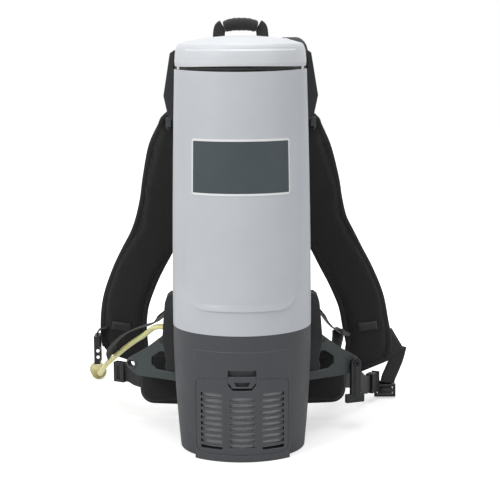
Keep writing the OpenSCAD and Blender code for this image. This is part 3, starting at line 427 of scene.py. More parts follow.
@dataclass(frozen=True)
class PanelledPlastic(MouldedPlastic):
    """The tank's plastic, with the soft ramp that runs round its front panel drawn into the surface."""

    half_width: float = 77.0
    bottom: float = 214.0
    corner: float = 25.0
    ramp: float = 14.0
    depth: float = 3.2

    def ramp_height(self, add: Adder, place: NodeSocket) -> Node:
        """Draws the ramp's height, from 0 at the panel to 1 beyond it.

        Args:
            add: Adds a node.
            place: The place on the tank.

        Returns:
            The node that gives the height.
        """
        axes = add("SeparateXYZ", {"Vector": place}).outputs
        # how far a place lies outside a rectangle that is drawn in by the corner's radius
        aside = add("Math", {0: axes["X"]}, operation="ABSOLUTE")
        squares = []
        side, foot = (self.half_width - self.corner) * MM, (self.bottom + self.corner) * MM
        for far, near in ((aside, side), (foot, axes["Z"])):
            gap = add("Math", {0: far, 1: near}, operation="SUBTRACT")
            past = add("Math", {0: gap, 1: 0.0}, operation="MAXIMUM")
            squares.append(add("Math", {0: past, 1: 2.0}, operation="POWER"))
        away = add("Math", {0: squares[0], 1: squares[1]}, operation="ADD")
        away = add("Math", {0: away}, operation="SQRT")
        outside = add("Math", {0: away, 1: self.corner * MM}, operation="SUBTRACT")
        part = add("MapRange", {"Value": outside, "From Min": 0.0, "From Max": self.ramp * MM})
        # steep where it leaves the panel, and easing out
        left = add("Math", {0: 1.0, 1: part}, operation="SUBTRACT")
        left = add("Math", {0: left, 1: 2.0}, operation="POWER")
        risen = add("Math", {0: 1.0, 1: left}, operation="SUBTRACT")
        # only the front of the tank has the panel
        front = add("Math", {0: axes["Y"], 1: 0.0}, operation="LESS_THAN")
        return add("Math", {0: risen, 1: front}, operation="MULTIPLY")

    def drawn(self, add: Adder, place: NodeSocket) -> Inputs:
        """Draws the moulded plastic, and the ramp over its grain.

        Args:
            add: Adds a node.
            place: The place on the piece.

        Returns:
            The shader's inputs, by name.
        """
        values = super().drawn(add, place)
        ramp = add("Bump", {
            "Height": self.ramp_height(add, place), "Strength": 1.0,
            "Distance": self.depth * MM, "Normal": values["Normal"]})
        return values | {"Normal": ramp}


@dataclass(frozen=True)
class WovenCloth(Surface):
    """Plain-woven pack cloth: crossing threads, a dry surface and a slight sheen."""

    thread_mm: float = 0.9  # the real 0.5 mm threads are drawn coarser, so that they show
    depth: float = 0.35
    sheen: float = 0.25
    roughness: float = 0.85

    def drawn(self, add: Adder, place: NodeSocket) -> Inputs:
        """Draws the crossing threads, lifted by dust and rubbing in soft patches.

        Args:
            add: Adds a node.
            place: The place on the piece.

        Returns:
            The shader's inputs, by name.
        """
        scale = 1 / (self.thread_mm * MM * WAVE)
        threads = {"Vector": place, "Scale": scale, "Distortion": 0.4, "Detail": 1.0}
        warp, weft = [add("TexWave", threads, bands_direction=axis).outputs["Fac"]
                      for axis in ("DIAGONAL", "Z")]
        weave = add("Math", {0: warp, 1: weft}, operation="MULTIPLY")
        rub = add("TexNoise", {"Vector": place, "Scale": RUB_SCALE, "Detail": 5.0, "Roughness": 0.6})
        mixed = add("Math", {0: weave, 1: rub}, operation="MULTIPLY")
        tint = add("ValToRGB", {"Fac": mixed})
        set_stops(tint, [(0.05, self.shade), (0.55, self.colour)])
        bump = add("Bump", {"Height": weave, "Strength": self.depth, "Distance": 0.4 * MM})
        return {"Base Color": tint, "Roughness": self.roughness, "Sheen Weight": self.sheen,
                "Sheen Roughness": 0.5, "Normal": bump}


@dataclass(frozen=True)
class RibbedWebbing(Surface):
    """Nylon webbing: ribs across the strap, woven edges and a faint gloss."""

    rib_mm: float = 1.6
    roughness: float = 0.6
    laid_by: ClassVar[str] = "UV"
    run_ribs: ClassVar[float] = 2.4  # width of a lengthwise run of threads, in ribs

    def drawn(self, add: Adder, place: NodeSocket) -> Inputs:
        """Draws the ribs and the runs of thread that cross them.

        Args:
            add: Adds a node.
            place: The place on the piece.

        Returns:
            The shader's inputs, by name.
        """
        rib = self.rib_mm * MM * WAVE
        ribs = add("TexWave", {
            "Vector": place, "Scale": 1 / rib, "Distortion": 0.6, "Detail": 1.0}, bands_direction="X")
        runs = add("TexWave", {
            "Vector": place, "Scale": 1 / (self.run_ribs * rib), "Distortion": 0.3}, bands_direction="Y")
        weave = add("Math", {0: ribs.outputs["Fac"], 1: runs.outputs["Fac"]}, operation="MULTIPLY")
        tint = add("ValToRGB", {"Fac": weave})
        set_stops(tint, [(0.1, self.shade), (0.8, self.colour)])
        bump = add("Bump", {"Height": weave, "Strength": 0.4, "Distance": 0.4 * MM})
        return {"Base Color": tint, "Roughness": self.roughness, "Sheen Weight": 0.15, "Normal": bump}


@dataclass(frozen=True)
class SoftVinyl(Surface):
    """Extruded or moulded soft vinyl and rubber: smooth, waxy, a little see-through where pale."""

    roughness: float = 0.42
    through: float = 0.0

    def drawn(self, add: Adder, place: NodeSocket) -> Inputs:
        """Draws faint marks on the smooth skin.

        Args:
            add: Adds a node.
            place: The place on the piece.

        Returns:
            The shader's inputs, by name.
        """
        marks = add("TexNoise", {"Vector": place, "Scale": MARK_SCALE, "Detail": 4.0})
        tint = add("ValToRGB", {"Fac": marks})
        set_stops(tint, [(0.35, self.shade), (0.62, self.colour)])
        bump = add("Bump", {"Height": marks, "Strength": 0.1, "Distance": 0.3 * MM})
        return {"Base Color": tint, "Roughness": self.roughness, "IOR": 1.53,
                "Subsurface Weight": self.through, "Subsurface Scale": 4 * MM, "Normal": bump}


@dataclass(frozen=True)
class Metal(Surface):
    """Stamped, turned or cast metal: fine lines of the tool in the sheen."""

    roughness: float = 0.35

    def drawn(self, add: Adder, place: NodeSocket) -> Inputs:
        """Draws the tool's lines.

        Args:
            add: Adds a node.
            place: The place on the piece.

        Returns:
            The shader's inputs, by name.
        """
        stretched = add("Mapping", {"Vector": place, "Scale": TOOL_STRETCH})
        lines = add("TexNoise", {"Vector": stretched, "Scale": TOOL_SCALE, "Detail": 3.0})
        tint = add("ValToRGB", {"Fac": lines})
        set_stops(tint, [(0.3, self.shade), (0.7, self.colour)])
        rough = add("MapRange", {
            "Value": lines, "To Min": self.roughness - 0.08, "To Max": self.roughness + 0.12})
        return {"Base Color": tint, "Metallic": 1.0, "Roughness": rough}


@dataclass(frozen=True)
class FibreMat(Surface):
    """Filter paper, felt and foam: short tangled fibres with no gloss at all."""

    fibre_mm: float = 1.4

    def drawn(self, add: Adder, place: NodeSocket) -> Inputs:
        """Draws the tangle of fibres.

        Args:
            add: Adds a node.
            place: The place on the piece.

        Returns:
            The shader's inputs, by name.
        """
        tangle = add("TexNoise", {
            "Vector": place, "Scale": 1 / (self.fibre_mm * MM), "Detail": 6.0, "Roughness": 0.75,
            "Distortion": 1.2})
        tint = add("ValToRGB", {"Fac": tangle})
        set_stops(tint, [(0.32, self.shade), (0.64, self.colour)])
        bump = add("Bump", {"Height": tangle, "Strength": 0.6, "Distance": 0.8 * MM})
        return {"Base Color": tint, "Roughness": 0.95, "Normal": bump}


class Finish(Enum):
    """Every finish on the machine."""

    TANK = PanelledPlastic("tank_abs_moulded", "#CCD0D5", "#C4C8CE", 0.4, 0.8, 0.03)
    LID = MouldedPlastic("lid_abs_moulded", "#DCDFE3", "#D5D8DC", 0.36, 0.8, 0.03)
    BASE = MouldedPlastic("base_abs_moulded", "#47494D", "#404246", 0.5, 0.9, 0.06)
    SLATE = MouldedPlastic("bracket_polypropylene", "#434A4B", "#3B4243", 0.55, 1.0, 0.08)
    FRAME = MouldedPlastic("frame_polypropylene", "#242527", "#1D1E20", 0.58, 1.0, 0.08)
    BUCKLE = MouldedPlastic("buckle_acetal", "#1E1F21", "#17181A", 0.38, 0.7, 0.03)
    PLATE = MouldedPlastic("plate_printed_film", "#434D52", "#3D474C", 0.36, 0.6, 0.01, 0.1)
    PLATE_EDGE = MouldedPlastic("plate_edge_film", "#F4F5F6", "#ECEEEF", 0.36, 0.6, 0.01, 0.1)
    PAD = WovenCloth("pad_pack_cloth", "#1D1D1E", "#141415", sheen=0.12)
    GRIP = WovenCloth("grip_pack_cloth", "#2A2A2C", "#1C1C1D", 1.0, 0.3)
    PATCH = RibbedWebbing("patch_webbing", "#2C2C2E", "#1D1D1E", 1.4)
    BINDING = RibbedWebbing("binding_tape", "#171718", "#0F0F10", 1.2, 0.75)
    WEBBING = RibbedWebbing("nylon_webbing", "#1F1F20", "#111112")
    THREAD = SoftVinyl("stitching_thread", "#262628", "#1D1D1F", 0.7)
    RUBBER = SoftVinyl("seal_rubber", "#1B1C1D", "#141516", 0.6)
    LEAD = SoftVinyl("lead_vinyl", "#FAF9B2", "#F3F1A2", 0.4, 0.25)
    PLUG = SoftVinyl("plug_clear_vinyl", "#D2CA96", "#B8AD74", 0.25, 0.2)
    ROCKER = SoftVinyl("rocker_moulded", "#8E1E1E", "#7C1818", 0.25)
    STEEL = Metal("zinc_plated_steel", "#C4C7CA", "#A9ACB0")
    BLACKED = Metal("blacked_steel", "#3A3C40", "#2A2C2F", 0.4)
    ALUMINIUM = Metal("cast_aluminium", "#D2D5D8", "#BCBFC3", 0.42)
    BRASS = Metal("pressed_brass", "#C9A35A", "#A9853F", 0.32)
    PAPER = FibreMat("bag_paper", "#D6CFBF", "#C2BAA8")
    MAT = FibreMat("filter_felt", "#F4F5F6", "#B4B8BC")


_made: dict[Finish, Material] = {}


def finish(kind: Finish) -> Material:
    """Gives the material of a finish, made once.

    Args:
        kind: The finish.

    Returns:
        Its material.
    """
    if kind not in _made:
        _made[kind] = kind.value.build()
    return _made[kind]


# ---- studio ----


@dataclass
class Studio:
    """A pale floor, soft lamps and the camera."""

    camera_at: Point = (0.0115, -1.975, 0.579)
    pitch_down: float = 8.8
    roll: float = -0.33
    lens: float = 104.4
    sensor: float = 36.0
    clip_end: float = 60.0
    floor_size: float = 12.0
    floor_drop: float = 0.0004  # keeps the floor clear of the machine's foot
    floor_grey: float = 0.86
    glow_reach: tuple[float, float] = (0.2, 0.9)  # metres from the machine's axis
    glow: tuple[float, float] = (0.5, 0.98)
    room_light: float = 0.41
    aim: Point = (0.0, 0.0, 0.3)
    lamps: tuple[tuple[str, Point, float, float], ...] = (
        ("key_lamp", (-1.9, -1.7, 2.0), 1.6, 33.0),
        ("fill_lamp", (1.9, -1.5, 1.2), 1.8, 4.5),
        ("top_lamp", (0.1, -0.1, 2.4), 1.6, 22.0))

    def build_camera(self) -> None:
        """Makes the camera and gives it to the scene."""
        lens = bpy.data.cameras.new("camera")
        lens.lens, lens.sensor_width = self.lens, self.sensor
        lens.clip_end = self.clip_end
        camera = bpy.data.objects.new("camera", lens)
        camera.location = self.camera_at
        camera.rotation_mode = "QUATERNION"
        camera.rotation_quaternion = (Quaternion((1, 0, 0), radians(90 - self.pitch_down))
                                      @ Quaternion((0, 0, 1), radians(self.roll)))
        bpy.context.scene.collection.objects.link(camera)
        bpy.context.scene.camera = camera

    def build_lamps(self) -> None:
        """Makes the soft area lamps."""
        for name, place, size, power in self.lamps:
            data = bpy.data.lights.new(name, "AREA")
            data.energy, data.size, data.shape = power, size, "DISK"
            lamp = bpy.data.objects.new(name, data)
            lamp.location = place
            lamp.rotation_mode = "QUATERNION"
            lamp.rotation_quaternion = (Vector(self.aim) - Vector(place)).to_track_quat("-Z", "Y")
            bpy.context.scene.collection.objects.link(lamp)

    def build_world(self) -> None:
        """Lights the room evenly, and shows white to the camera, mirrors and glass."""
        world = bpy.data.worlds.new("studio_world")
        world.use_nodes = True
        bpy.context.scene.world = world
        world.node_tree.nodes.clear()
        add = partial(add_node, world.node_tree)
        rays = add("LightPath").outputs
        seen = add("Math", {0: rays["Is Camera Ray"], 1: rays["Is Glossy Ray"]}, operation="MAXIMUM")
        seen = add("Math", {0: seen, 1: rays["Is Transmission Ray"]}, operation="MAXIMUM")
        room = add("Background", {"Color": (1, 1, 1, 1), "Strength": self.room_light})
        white = add("Background", {"Color": (1, 1, 1, 1), "Strength": 1.0})
        mix = add("MixShader", {0: seen, 1: room, 2: white})
        add("OutputWorld", {"Surface": mix})

    def build_floor(self) -> None:
        """Makes the floor, white to the camera where no shadow falls."""
        material, add = new_material("studio_floor")
        matt = add("BsdfDiffuse", {"Color": (*[self.floor_grey] * 3, 1)})
        spot = add("NewGeometry").outputs["Position"]
        away = add("VectorMath", {0: spot}, operation="LENGTH").outputs["Value"]
        strength = add("MapRange", {
            "Value": away, "From Min": self.glow_reach[0], "From Max": self.glow_reach[1],
            "To Min": self.glow[0], "To Max": self.glow[1]}, interpolation_type="SMOOTHSTEP")
        glow = add("Emission", {"Color": (1, 1, 1, 1), "Strength": strength})
        lit = add("AddShader", {0: matt, 1: glow})
        seen = add("LightPath").outputs["Is Camera Ray"]
        mix = add("MixShader", {0: seen, 1: matt, 2: lit})
        add("OutputMaterial", {"Surface": mix})
        h = self.floor_size / 2
        corners = [(-h, -h, 0), (h, -h, 0), (h, h, 0), (-h, h, 0)]
        floor = mesh_object("studio_floor", corners, [(0, 1, 2, 3)], material)
        floor.location.z = -self.floor_drop

    def build(self) -> None:
        """Builds the whole studio."""
        bpy.context.scene.view_settings.view_transform = "Standard"
        self.build_camera()
        self.build_lamps()
        self.build_world()
        self.build_floor()


# ---- moulded parts ----


@dataclass
class MouldedParts:
    """The rigid solids that stay as they are and get their finish."""

    finishes: dict[Finish, tuple[str, ...]] = field(default_factory=lambda: {
        Finish.TANK: ("tank_shell",),
        Finish.LID: ("lid_shell",),
        Finish.BASE: ("base_housing", "bottom_cover", "filter_door", "door_latch", "motor_deck"),
        Finish.SLATE: ("hip_bracket_left", "hip_bracket_right", "lifter_slides"),
        Finish.FRAME: ("back_frame", "switch_bezel", "cord_hook", "hose_swivel"),
        Finish.BUCKLE: ("ladder_lock_left", "ladder_lock_right", "waist_buckle_left", "waist_buckle_right"),
        Finish.RUBBER: ("deck_gasket", "rim_gasket", "motor_mount"),
        Finish.BLACKED: ("hook_pin", "bracket_screws"),
        Finish.STEEL: ("cover_screws", "frame_screws", "motor_bearings", "armature_shaft", "field_core"),
        Finish.ALUMINIUM: ("impeller", "motor_frame", "fan_housing"),
        Finish.BRASS: ("brush_holders",),
        Finish.PAPER: ("filter_bag", "bag_collar"),
        Finish.MAT: ("motor_prefilter", "exhaust_filter"),
        Finish.ROCKER: ("rocker",),
        Finish.LEAD: ("strain_relief", "power_cord"),
        Finish.PLUG: ("cord_plug",),
        Finish.PAD: ("back_pad", "lumbar_pad", "shoulder_pad_left", "shoulder_pad_right", "handle_grip"),
        Finish.WEBBING: ("handle_webbing", *(f"{part}_webbing_{side}" for part in (
            "lifter", "lower", "adjuster", "waist") for side in ("left", "right"))),
    })

    def dress(self, nodes: dict[str, Object]) -> None:
        """Gives each node its finish.

        Args:
            nodes: The solids by name.
        """
        for kind, names in self.finishes.items():
            for name in names:
                data = nodes[name].data
                data.materials.clear()
                data.materials.append(finish(kind))


@dataclass
class LabelPlate:
    """A bare slate plate with a pale edge, lying on the curve of the tank's front panel."""

    z_low: float = 359.0
    z_high: float = 433.0
    half_turn: float = 43.0
    edge_width: float = 3.0
    corner: float = 4.0
    thickness: float = 0.5
    face_rise: float = 0.15
    back_lift: float = 0.05
    columns: int = 48
    rows: int = 14
    foot_z: float = 212.0  # the tank's, and so on down to the panel's rise
    rim_z: float = 521.5
    foot_radius: float = 95.5
    taper: float = 5.7
    panel_rise: float = 2.1

    def panel_radius(self, z: float) -> float:
        """Gives the radius of the tank's front panel at a height, both in millimetres."""
        t = max(0.0, (z - self.foot_z) / (self.rim_z - self.foot_z))
        return self.foot_radius - self.taper * t**1.5 + self.panel_rise

    def plate(self, name: str, inset: float, lift: float, kind: Finish) -> Object:
        """Makes one curved sheet with rounded corners.

        Args:
            name: The piece's name.
            inset: How far its outline lies inside the plate's own, in millimetres.
            lift: How far its face stands off the tank, in millimetres.
            kind: Its finish.

        Returns:
            The sheet.
        """
        low, high = self.z_low + inset, self.z_high - inset
        corner = max(0.5, self.corner - inset)
        bends = [corner * (1 - cos(radians(a))) for a in range(0, 91, 15)]
        zs = sorted({low + bend for bend in bends} | {high - bend for bend in bends}
                    | {low + (high - low) * k / self.rows for k in range(2, self.rows - 1)})
        vertices = []
        for face in (lift, self.back_lift):
            for z in zs:
                radius = self.panel_radius(z)
                half = radians(self.half_turn) * radius - inset
                near = min(z - low, high - z)
                if near < corner:
                    half -= corner - sqrt(max(0.0, corner**2 - (corner - near) ** 2))
                for c in range(self.columns + 1):
                    turn, out = half * (2 * c / self.columns - 1) / radius, radius + face
                    vertices.append((out * sin(turn) * MM, -out * cos(turn) * MM, z * MM))
        return mesh_object(name, vertices, sheet_faces(self.columns, len(zs) - 1), finish(kind))

    def build(self) -> list[Object]:
        """Makes the edge and the face of the plate.

        Returns:
            Both pieces.
        """
        face_lift = self.thickness + self.face_rise
        pieces = [self.plate("label_plate_edge", 0.0, self.thickness, Finish.PLATE_EDGE),
                  self.plate("label_plate_face", self.edge_width, face_lift, Finish.PLATE)]
        for piece in pieces:
            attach(piece, "machine")
        return pieces


# ---- lead ----


@dataclass
class PowerLead:
    """The short flexible lead: out of its tapered relief, past the left pad and down to its plug."""

    diameter: float = 8.0
    points: tuple[Point, ...] = (
        (-103.5, 64.7, 151.2), (-108.6, 67.9, 151.2), (-115.7, 73.2, 150.7), (-121.9, 79.5, 149.4),
        (-126.9, 86.5, 147.2), (-130.5, 94.1, 144.3), (-134.4, 104.6, 139.8), (-148.5, 142, 123),
        (-159, 163, 113), (-170, 183, 102.3),
        (-181, 202, 91), (-191.5, 220, 79.5), (-201, 237, 68.8), (-209, 253, 59.5), (-216, 270, 50.7),
        (-222, 289, 41.3), (-227.5, 309, 31.5), (-231.8, 329, 22.5), (-234.8, 345, 16.6), (-236.2, 353, 14.4),
        (-237, 359, 13.5))

    def build(self, ending: Sequence[Object]) -> Object:
        """Args:
            ending: The pieces of the plug on its far end; not used.

        Returns:
            The lead.
        """
        path = route(self.points, 4)
        line = bpy.data.curves.new("power_lead", "CURVE")
        line.dimensions, line.bevel_depth, line.bevel_resolution = "3D", self.diameter / 2 * MM, 6
        line.use_fill_caps = True
        spline = line.splines.new("POLY")
        spline.points.add(len(path) - 1)
        for point, place in zip(spline.points, path):
            point.co = (*place, 1.0)
        spline.use_smooth = True
        line.materials.append(finish(Finish.LEAD))
        lead = bpy.data.objects.new("power_lead", line)
        bpy.context.scene.collection.objects.link(lead)
        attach(lead, "machine")
        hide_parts("power_cord")
        return lead


# ---- harness: pads ----


def resampled(path: Path, dense_mm: float, spacing_mm: float) -> list[tuple[Vector, float]]:
    """Spreads points evenly along a path, closer together near its two ends.

    Args:
        path: The path's points, in metres.
        dense_mm: Length of the dense stretch at each end, in millimetres.
        spacing_mm: Spacing in the middle, in millimetres.

    Returns:
        Each point with its distance from the nearer end in millimetres.
    """
    along = distances(path, MM)
    total = along[-1]
    steps = max(2, round((total - 2 * dense_mm) / spacing_mm))
    ends = [dense_mm * (1 - cos(radians(a))) for a in range(0, 90, 15)]
    stops = ends + [dense_mm + (total - 2 * dense_mm) * k / steps for k in range(steps + 1)]
    stops += [total - d for d in reversed(ends)]
    out, i = [], 0
    for stop in stops:
        while i < len(path) - 2 and along[i + 1] < stop:
            i += 1
        share = (stop - along[i]) / (along[i + 1] - along[i])
        out.append((path[i].lerp(path[i + 1], share), min(stop, total - stop)))
    return out


def keep_modified(piece: Object) -> None:
    """Makes a piece's modified shape its own mesh, and drops the modifiers.

    Args:
        piece: The piece.
    """
    mesh = bpy.data.meshes.new_from_object(piece.evaluated_get(bpy.context.evaluated_depsgraph_get()))
    piece.modifiers.clear()
    piece.data = mesh
    mesh.polygons.foreach_set("use_smooth", [True] * len(mesh.polygons))


VOXEL_MM = 3.6  # size of the even mesh that the cloth is simulated on
CLOTH_FRAMES = 20
CLOTH_PRESSURE = 4.0
CLOTH_STIFFNESS = 12.0
CLOTH_BENDING = 0.4


def inflate(piece: Object, cap_mm: float) -> None:
    """Fills a closed shape as foam fills its cover, and keeps the swollen mesh.

    Args:
        piece: The closed shape.
        cap_mm: The furthest that a point may move.
    """
    even = piece.modifiers.new("even", "REMESH")
    even.mode, even.voxel_size = "VOXEL", VOXEL_MM * MM
    keep_modified(piece)
    start = [v.co.copy() for v in piece.data.vertices]
    cloth = piece.modifiers.new("fill", "CLOTH")
    cloth.settings.use_pressure = True
    cloth.settings.uniform_pressure_force = CLOTH_PRESSURE
    cloth.settings.effector_weights.gravity = 0
    cloth.settings.quality = 5
    cloth.settings.tension_stiffness = cloth.settings.compression_stiffness = CLOTH_STIFFNESS
    cloth.settings.bending_stiffness = CLOTH_BENDING
    cloth.point_cache.frame_start, cloth.point_cache.frame_end = 1, CLOTH_FRAMES
    for frame in range(1, CLOTH_FRAMES + 1):
        bpy.context.scene.frame_set(frame)
    keep_modified(piece)
    bpy.context.scene.frame_set(1)
    for vertex, before in zip(piece.data.vertices, start):
        move = vertex.co - before
        if move.length > cap_mm * MM:
            vertex.co = before + move * (cap_mm * MM / move.length)
    finer = piece.modifiers.new("finer", "SUBSURF")
    finer.levels = finer.render_levels = 1
    keep_modified(piece)


@dataclass(frozen=True)
class Edge:
    """One place on a pad's outline."""

    place: Vector
    outward: Vector
    inward: Vector
    heading: Vector


@dataclass
class Pad:
    """A foam pad sewn in pack cloth, with a bound edge and a row of stitches inside it."""

    name: str
    node: str
    points: tuple[Point, ...]
    width: float
    thickness: float
    side: Point = (1.0, 0.0, 0.0)
    corner: tuple[float, float] = (18.0, 18.0)
    fill: float = 0.6
    binding_reach: float = 9.0
    binding_thickness: float = 6.0
    stitch_pitch: float = 5.0
    seam: float = 1.5  # how far the body stays inside the outline
    overhang: float = 0.4  # how far the binding stands out past it
    end_share: float = 0.38  # the body's thickness at its ends, as a share of the pad's
    swell: float = 0.27  # what it gains on the way in
    swell_mm: float = 16.0
    cap_share: float = 0.26  # how far filling moves the cover, as a share of the thickness
    body_powers: tuple[float, float] = (0.55, 0.6)
    binding_powers: tuple[float, float] = (0.8, 0.7)
    inside_mm: float = 30.0  # how far along the pad the edges of its ends look
    stitch_gap: float = 0.6  # from the binding
    stitch_ends: tuple[float, float] = (-1.5, 1.5)
    thread: tuple[tuple[float, float], ...] = ((-0.45, 0.0), (0.45, 0.0), (0.3, 0.45), (-0.3, 0.45))
    stand_off: float = 0.05  # how far out a ray starts, in metres

    def rings(self) -> list[tuple[Vector, Vector, Vector, Vector, float]]:
        """Spreads rings along the pad.

        Returns:
            Each ring's centre, heading, width axis, thickness axis and distance from the nearer end.
        """
        spread = resampled(route(self.points, 8), max(self.corner), 8.0)
        axes = frames([p for p, _ in spread], self.side)
        return [(p, *axis, d) for (p, d), axis in zip(spread, axes)]

    def half_width(self, distance: float, at_start: bool) -> float:
        """Finds half the pad's width, round its corners.

        Args:
            distance: The distance from the nearer end, in millimetres.
            at_start: Whether that end is the route's start.

        Returns:
            Half the width, in millimetres.
        """
        corner = self.corner[0 if at_start else 1]
        missing = max(0.0, corner - distance)
        return self.width / 2 - corner + sqrt(max(0.0, corner**2 - missing**2))

    def filling(self) -> Object:
        """Makes the stuffed body of the pad.

        Returns:
            The body.
        """
        rings = self.rings()
        middle, n = len(rings) / 2, 20
        vertices: list[Vector] = []
        for i, (centre, _, wide, thick, distance) in enumerate(rings):
            half_w = self.half_width(distance, i < middle) - self.seam
            risen = self.swell * min(1.0, distance / self.swell_mm) ** 0.5
            half_t = self.thickness / 2 * (self.end_share + risen)
            section = pillow(half_w, half_t, self.body_powers, n)
            vertices += [centre + wide * a + thick * b for a, b in section]
        faces = tube_faces(len(rings), n)
        faces += [tuple(range(n)), tuple(range((len(rings) - 1) * n, len(rings) * n))]
        made = mesh_object(self.name, vertices, faces, finish(Finish.PAD))
        inflate(made, self.thickness * self.cap_share)
        return made

    def outline(self) -> list[Edge]:
        """Walks once round the pad's edge.

        Returns:
            The places that it passes.
        """
        rings = self.rings()
        middle = len(rings) / 2
        half = [self.half_width(r[4], i < middle) * MM for i, r in enumerate(rings)]
        right = [(r[0] + r[2] * h, r[3], r[0]) for r, h in zip(rings, half)]
        left = [(r[0] - r[2] * h, r[3], r[0]) for r, h in zip(rings, half)]
        ends = []
        for a, b, (centre, heading, *_), back in (
                (right[-1], left[-1], rings[-1], -1), (left[0], right[0], rings[0], 1)):
            inside = centre + heading * back * self.inside_mm * MM
            ends.append([(a[0].lerp(b[0], k / 5), a[1], inside) for k in range(1, 5)])
        loop = right + ends[0] + left[::-1] + ends[1]
        edges = []
        for i, (place, normal, towards) in enumerate(loop):
            heading = (loop[(i + 1) % len(loop)][0] - loop[i - 1][0]).normalized()
            inward = normal.cross(heading).normalized()
            if inward.dot(towards - place) < 0:
                inward.negate()
            edges.append(Edge(place, normal, inward, heading))
        return edges

    def binding(self, edges: Sequence[Edge]) -> Object:
        """Folds a tape over the pad's edge.

        Args:
            edges: The pad's outline.

        Returns:
            The tape.
        """
        n = 14
        section = pillow(self.binding_reach / 2, self.binding_thickness / 2, self.binding_powers, n)
        vertices = []
        for edge in edges:
            middle = edge.place + edge.inward * (self.binding_reach / 2 - self.overhang) * MM
            vertices += [middle + edge.inward * a + edge.outward * b for a, b in section]
        faces = tube_faces(len(edges), n, closed=True)
        made = mesh_object(f"{self.name}_binding", vertices, faces, finish(Finish.BINDING))
        along = distances([edge.place for edge in edges])
        lay_uv(made, lambda v: (along[v // n], v % n / n * 2 * self.binding_reach * MM))
        return made

    def stitches(self, body: Object, edges: Sequence[Edge]) -> Object:
        """Lays a row of stitches on both faces, just inside the binding.

        Args:
            body: The stuffed body that the stitches lie on.
            edges: The pad's outline.

        Returns:
            The thread.
        """
        cover = cover_of(body)
        vertices: list[Vector] = []
        faces: list[Face] = []
        walked = 0.0
        for before, edge in zip(edges, edges[1:]):
            walked += (edge.place - before.place).length / MM
            if walked < self.stitch_pitch:
                continue
            walked = 0.0
            for face in (1, -1):
                out = edge.outward * face
                inside = edge.inward * (self.binding_reach + self.stitch_gap) * MM
                start = edge.place + inside + out * self.stand_off
                hit = cover.ray_cast(start, -out)[0]
                if hit is None:
                    continue
                base = len(vertices)
                for h in self.stitch_ends:
                    for across, up in self.thread:
                        vertices.append(hit + (edge.heading * h + edge.inward * across + out * up) * MM)
                faces += [tuple(base + k for k in quad) for quad in (
                    (0, 1, 2, 3), (4, 5, 6, 7), (0, 1, 5, 4), (1, 2, 6, 5), (2, 3, 7, 6), (3, 0, 4, 7))]
        return mesh_object(f"{self.name}_stitching", vertices, faces, finish(Finish.THREAD))

    def build(self) -> list[Object]:
        """Makes the pad.

        Returns:
            Its body, its binding and its stitching.
        """
        body = self.filling()
        edges = self.outline()
        pieces = [body, self.binding(edges), self.stitches(body, edges)]
        for piece in pieces:
            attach(piece, "machine")
        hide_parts(self.node)
        return pieces


@dataclass
class Strap:
    """A flat length of webbing with softly rounded selvedges."""

    name: str
    node: str
    points: tuple[Point, ...]
    width: float
    side: Point
    thickness: float = 2.2
    selvedge: float = 0.5  # thickness of the edges, as a share of the middle's
    rib: float = 0.1

    def section(self, _: float) -> Section:
        """Gives the strap's section, which is ribbed a little, and thinner at its edges.

        Args:
            _: The place along the strap, where the section is the same all along.

        Returns:
            Its points, in metres.
        """
        half_w, half_t = self.width / 2 * MM, self.thickness / 2 * MM
        over = [(half_w * k / 5, half_t * (self.selvedge if abs(k) == 5 else 1 - self.rib * (1 - k % 2)))
                for k in range(-5, 6)]
        return over + [(a, -b) for a, b in reversed(over)]

    def build(self) -> Object:
        """Makes the strap and lets it stand for its solid, where it has one.

        Returns:
            The strap.
        """
        made = swept(self.name, route(self.points, 6), self.section, self.side, finish(Finish.WEBBING))
        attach(made, "machine")
        if self.node:
            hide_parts(self.node)
        return made


@dataclass
class Patch:
    """A folded end of webbing, sewn flat to the front of a shoulder pad."""

    name: str
    centre: Point
    lean: float
    size: tuple[float, float] = (30.0, 13.0)
    thickness: float = 2.6
    sunk: float = 1.0  # how far its back lies in the pad
    edge_share: float = 0.6  # thickness of its edge, as a share of the rest
    cells: tuple[int, int] = (12, 5)
    stand_off: float = 0.06  # how far out a ray starts, in metres

    def build(self, body: Object) -> Object:
        """Lays the patch on the pad.

        Args:
            body: The stuffed body of the pad.

        Returns:
            The patch.
        """
        cover = cover_of(body)
        lean = radians(self.lean)
        across = Vector((cos(lean), 0, sin(lean)))
        down = Vector((sin(lean), 0, -cos(lean)))
        front = Vector((0, -1, 0))
        columns, rows = self.cells
        vertices: list[Vector] = []
        for lift in (self.thickness, -self.sunk):
            for r in range(rows + 1):
                for c in range(columns + 1):
                    place = (Vector(self.centre) + across * self.size[0] * (c / columns - 0.5)
                             + down * self.size[1] * (r / rows - 0.5)) * MM
                    hit = cover.ray_cast(place + front * self.stand_off, -front)[0] or place
                    inner = lift < 0 or min(r, rows - r, c, columns - c)
                    vertices.append(hit + front * (lift if inner else lift * self.edge_share) * MM)
        made = mesh_object(self.name, vertices, sheet_faces(columns, rows), finish(Finish.PATCH))
        flat = [(c / columns * self.size[0] * MM, r / rows * self.size[1] * MM)
                for r in range(rows + 1) for c in range(columns + 1)]
        lay_uv(made, lambda v: flat[v % len(flat)])
        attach(made, "machine")
        return made


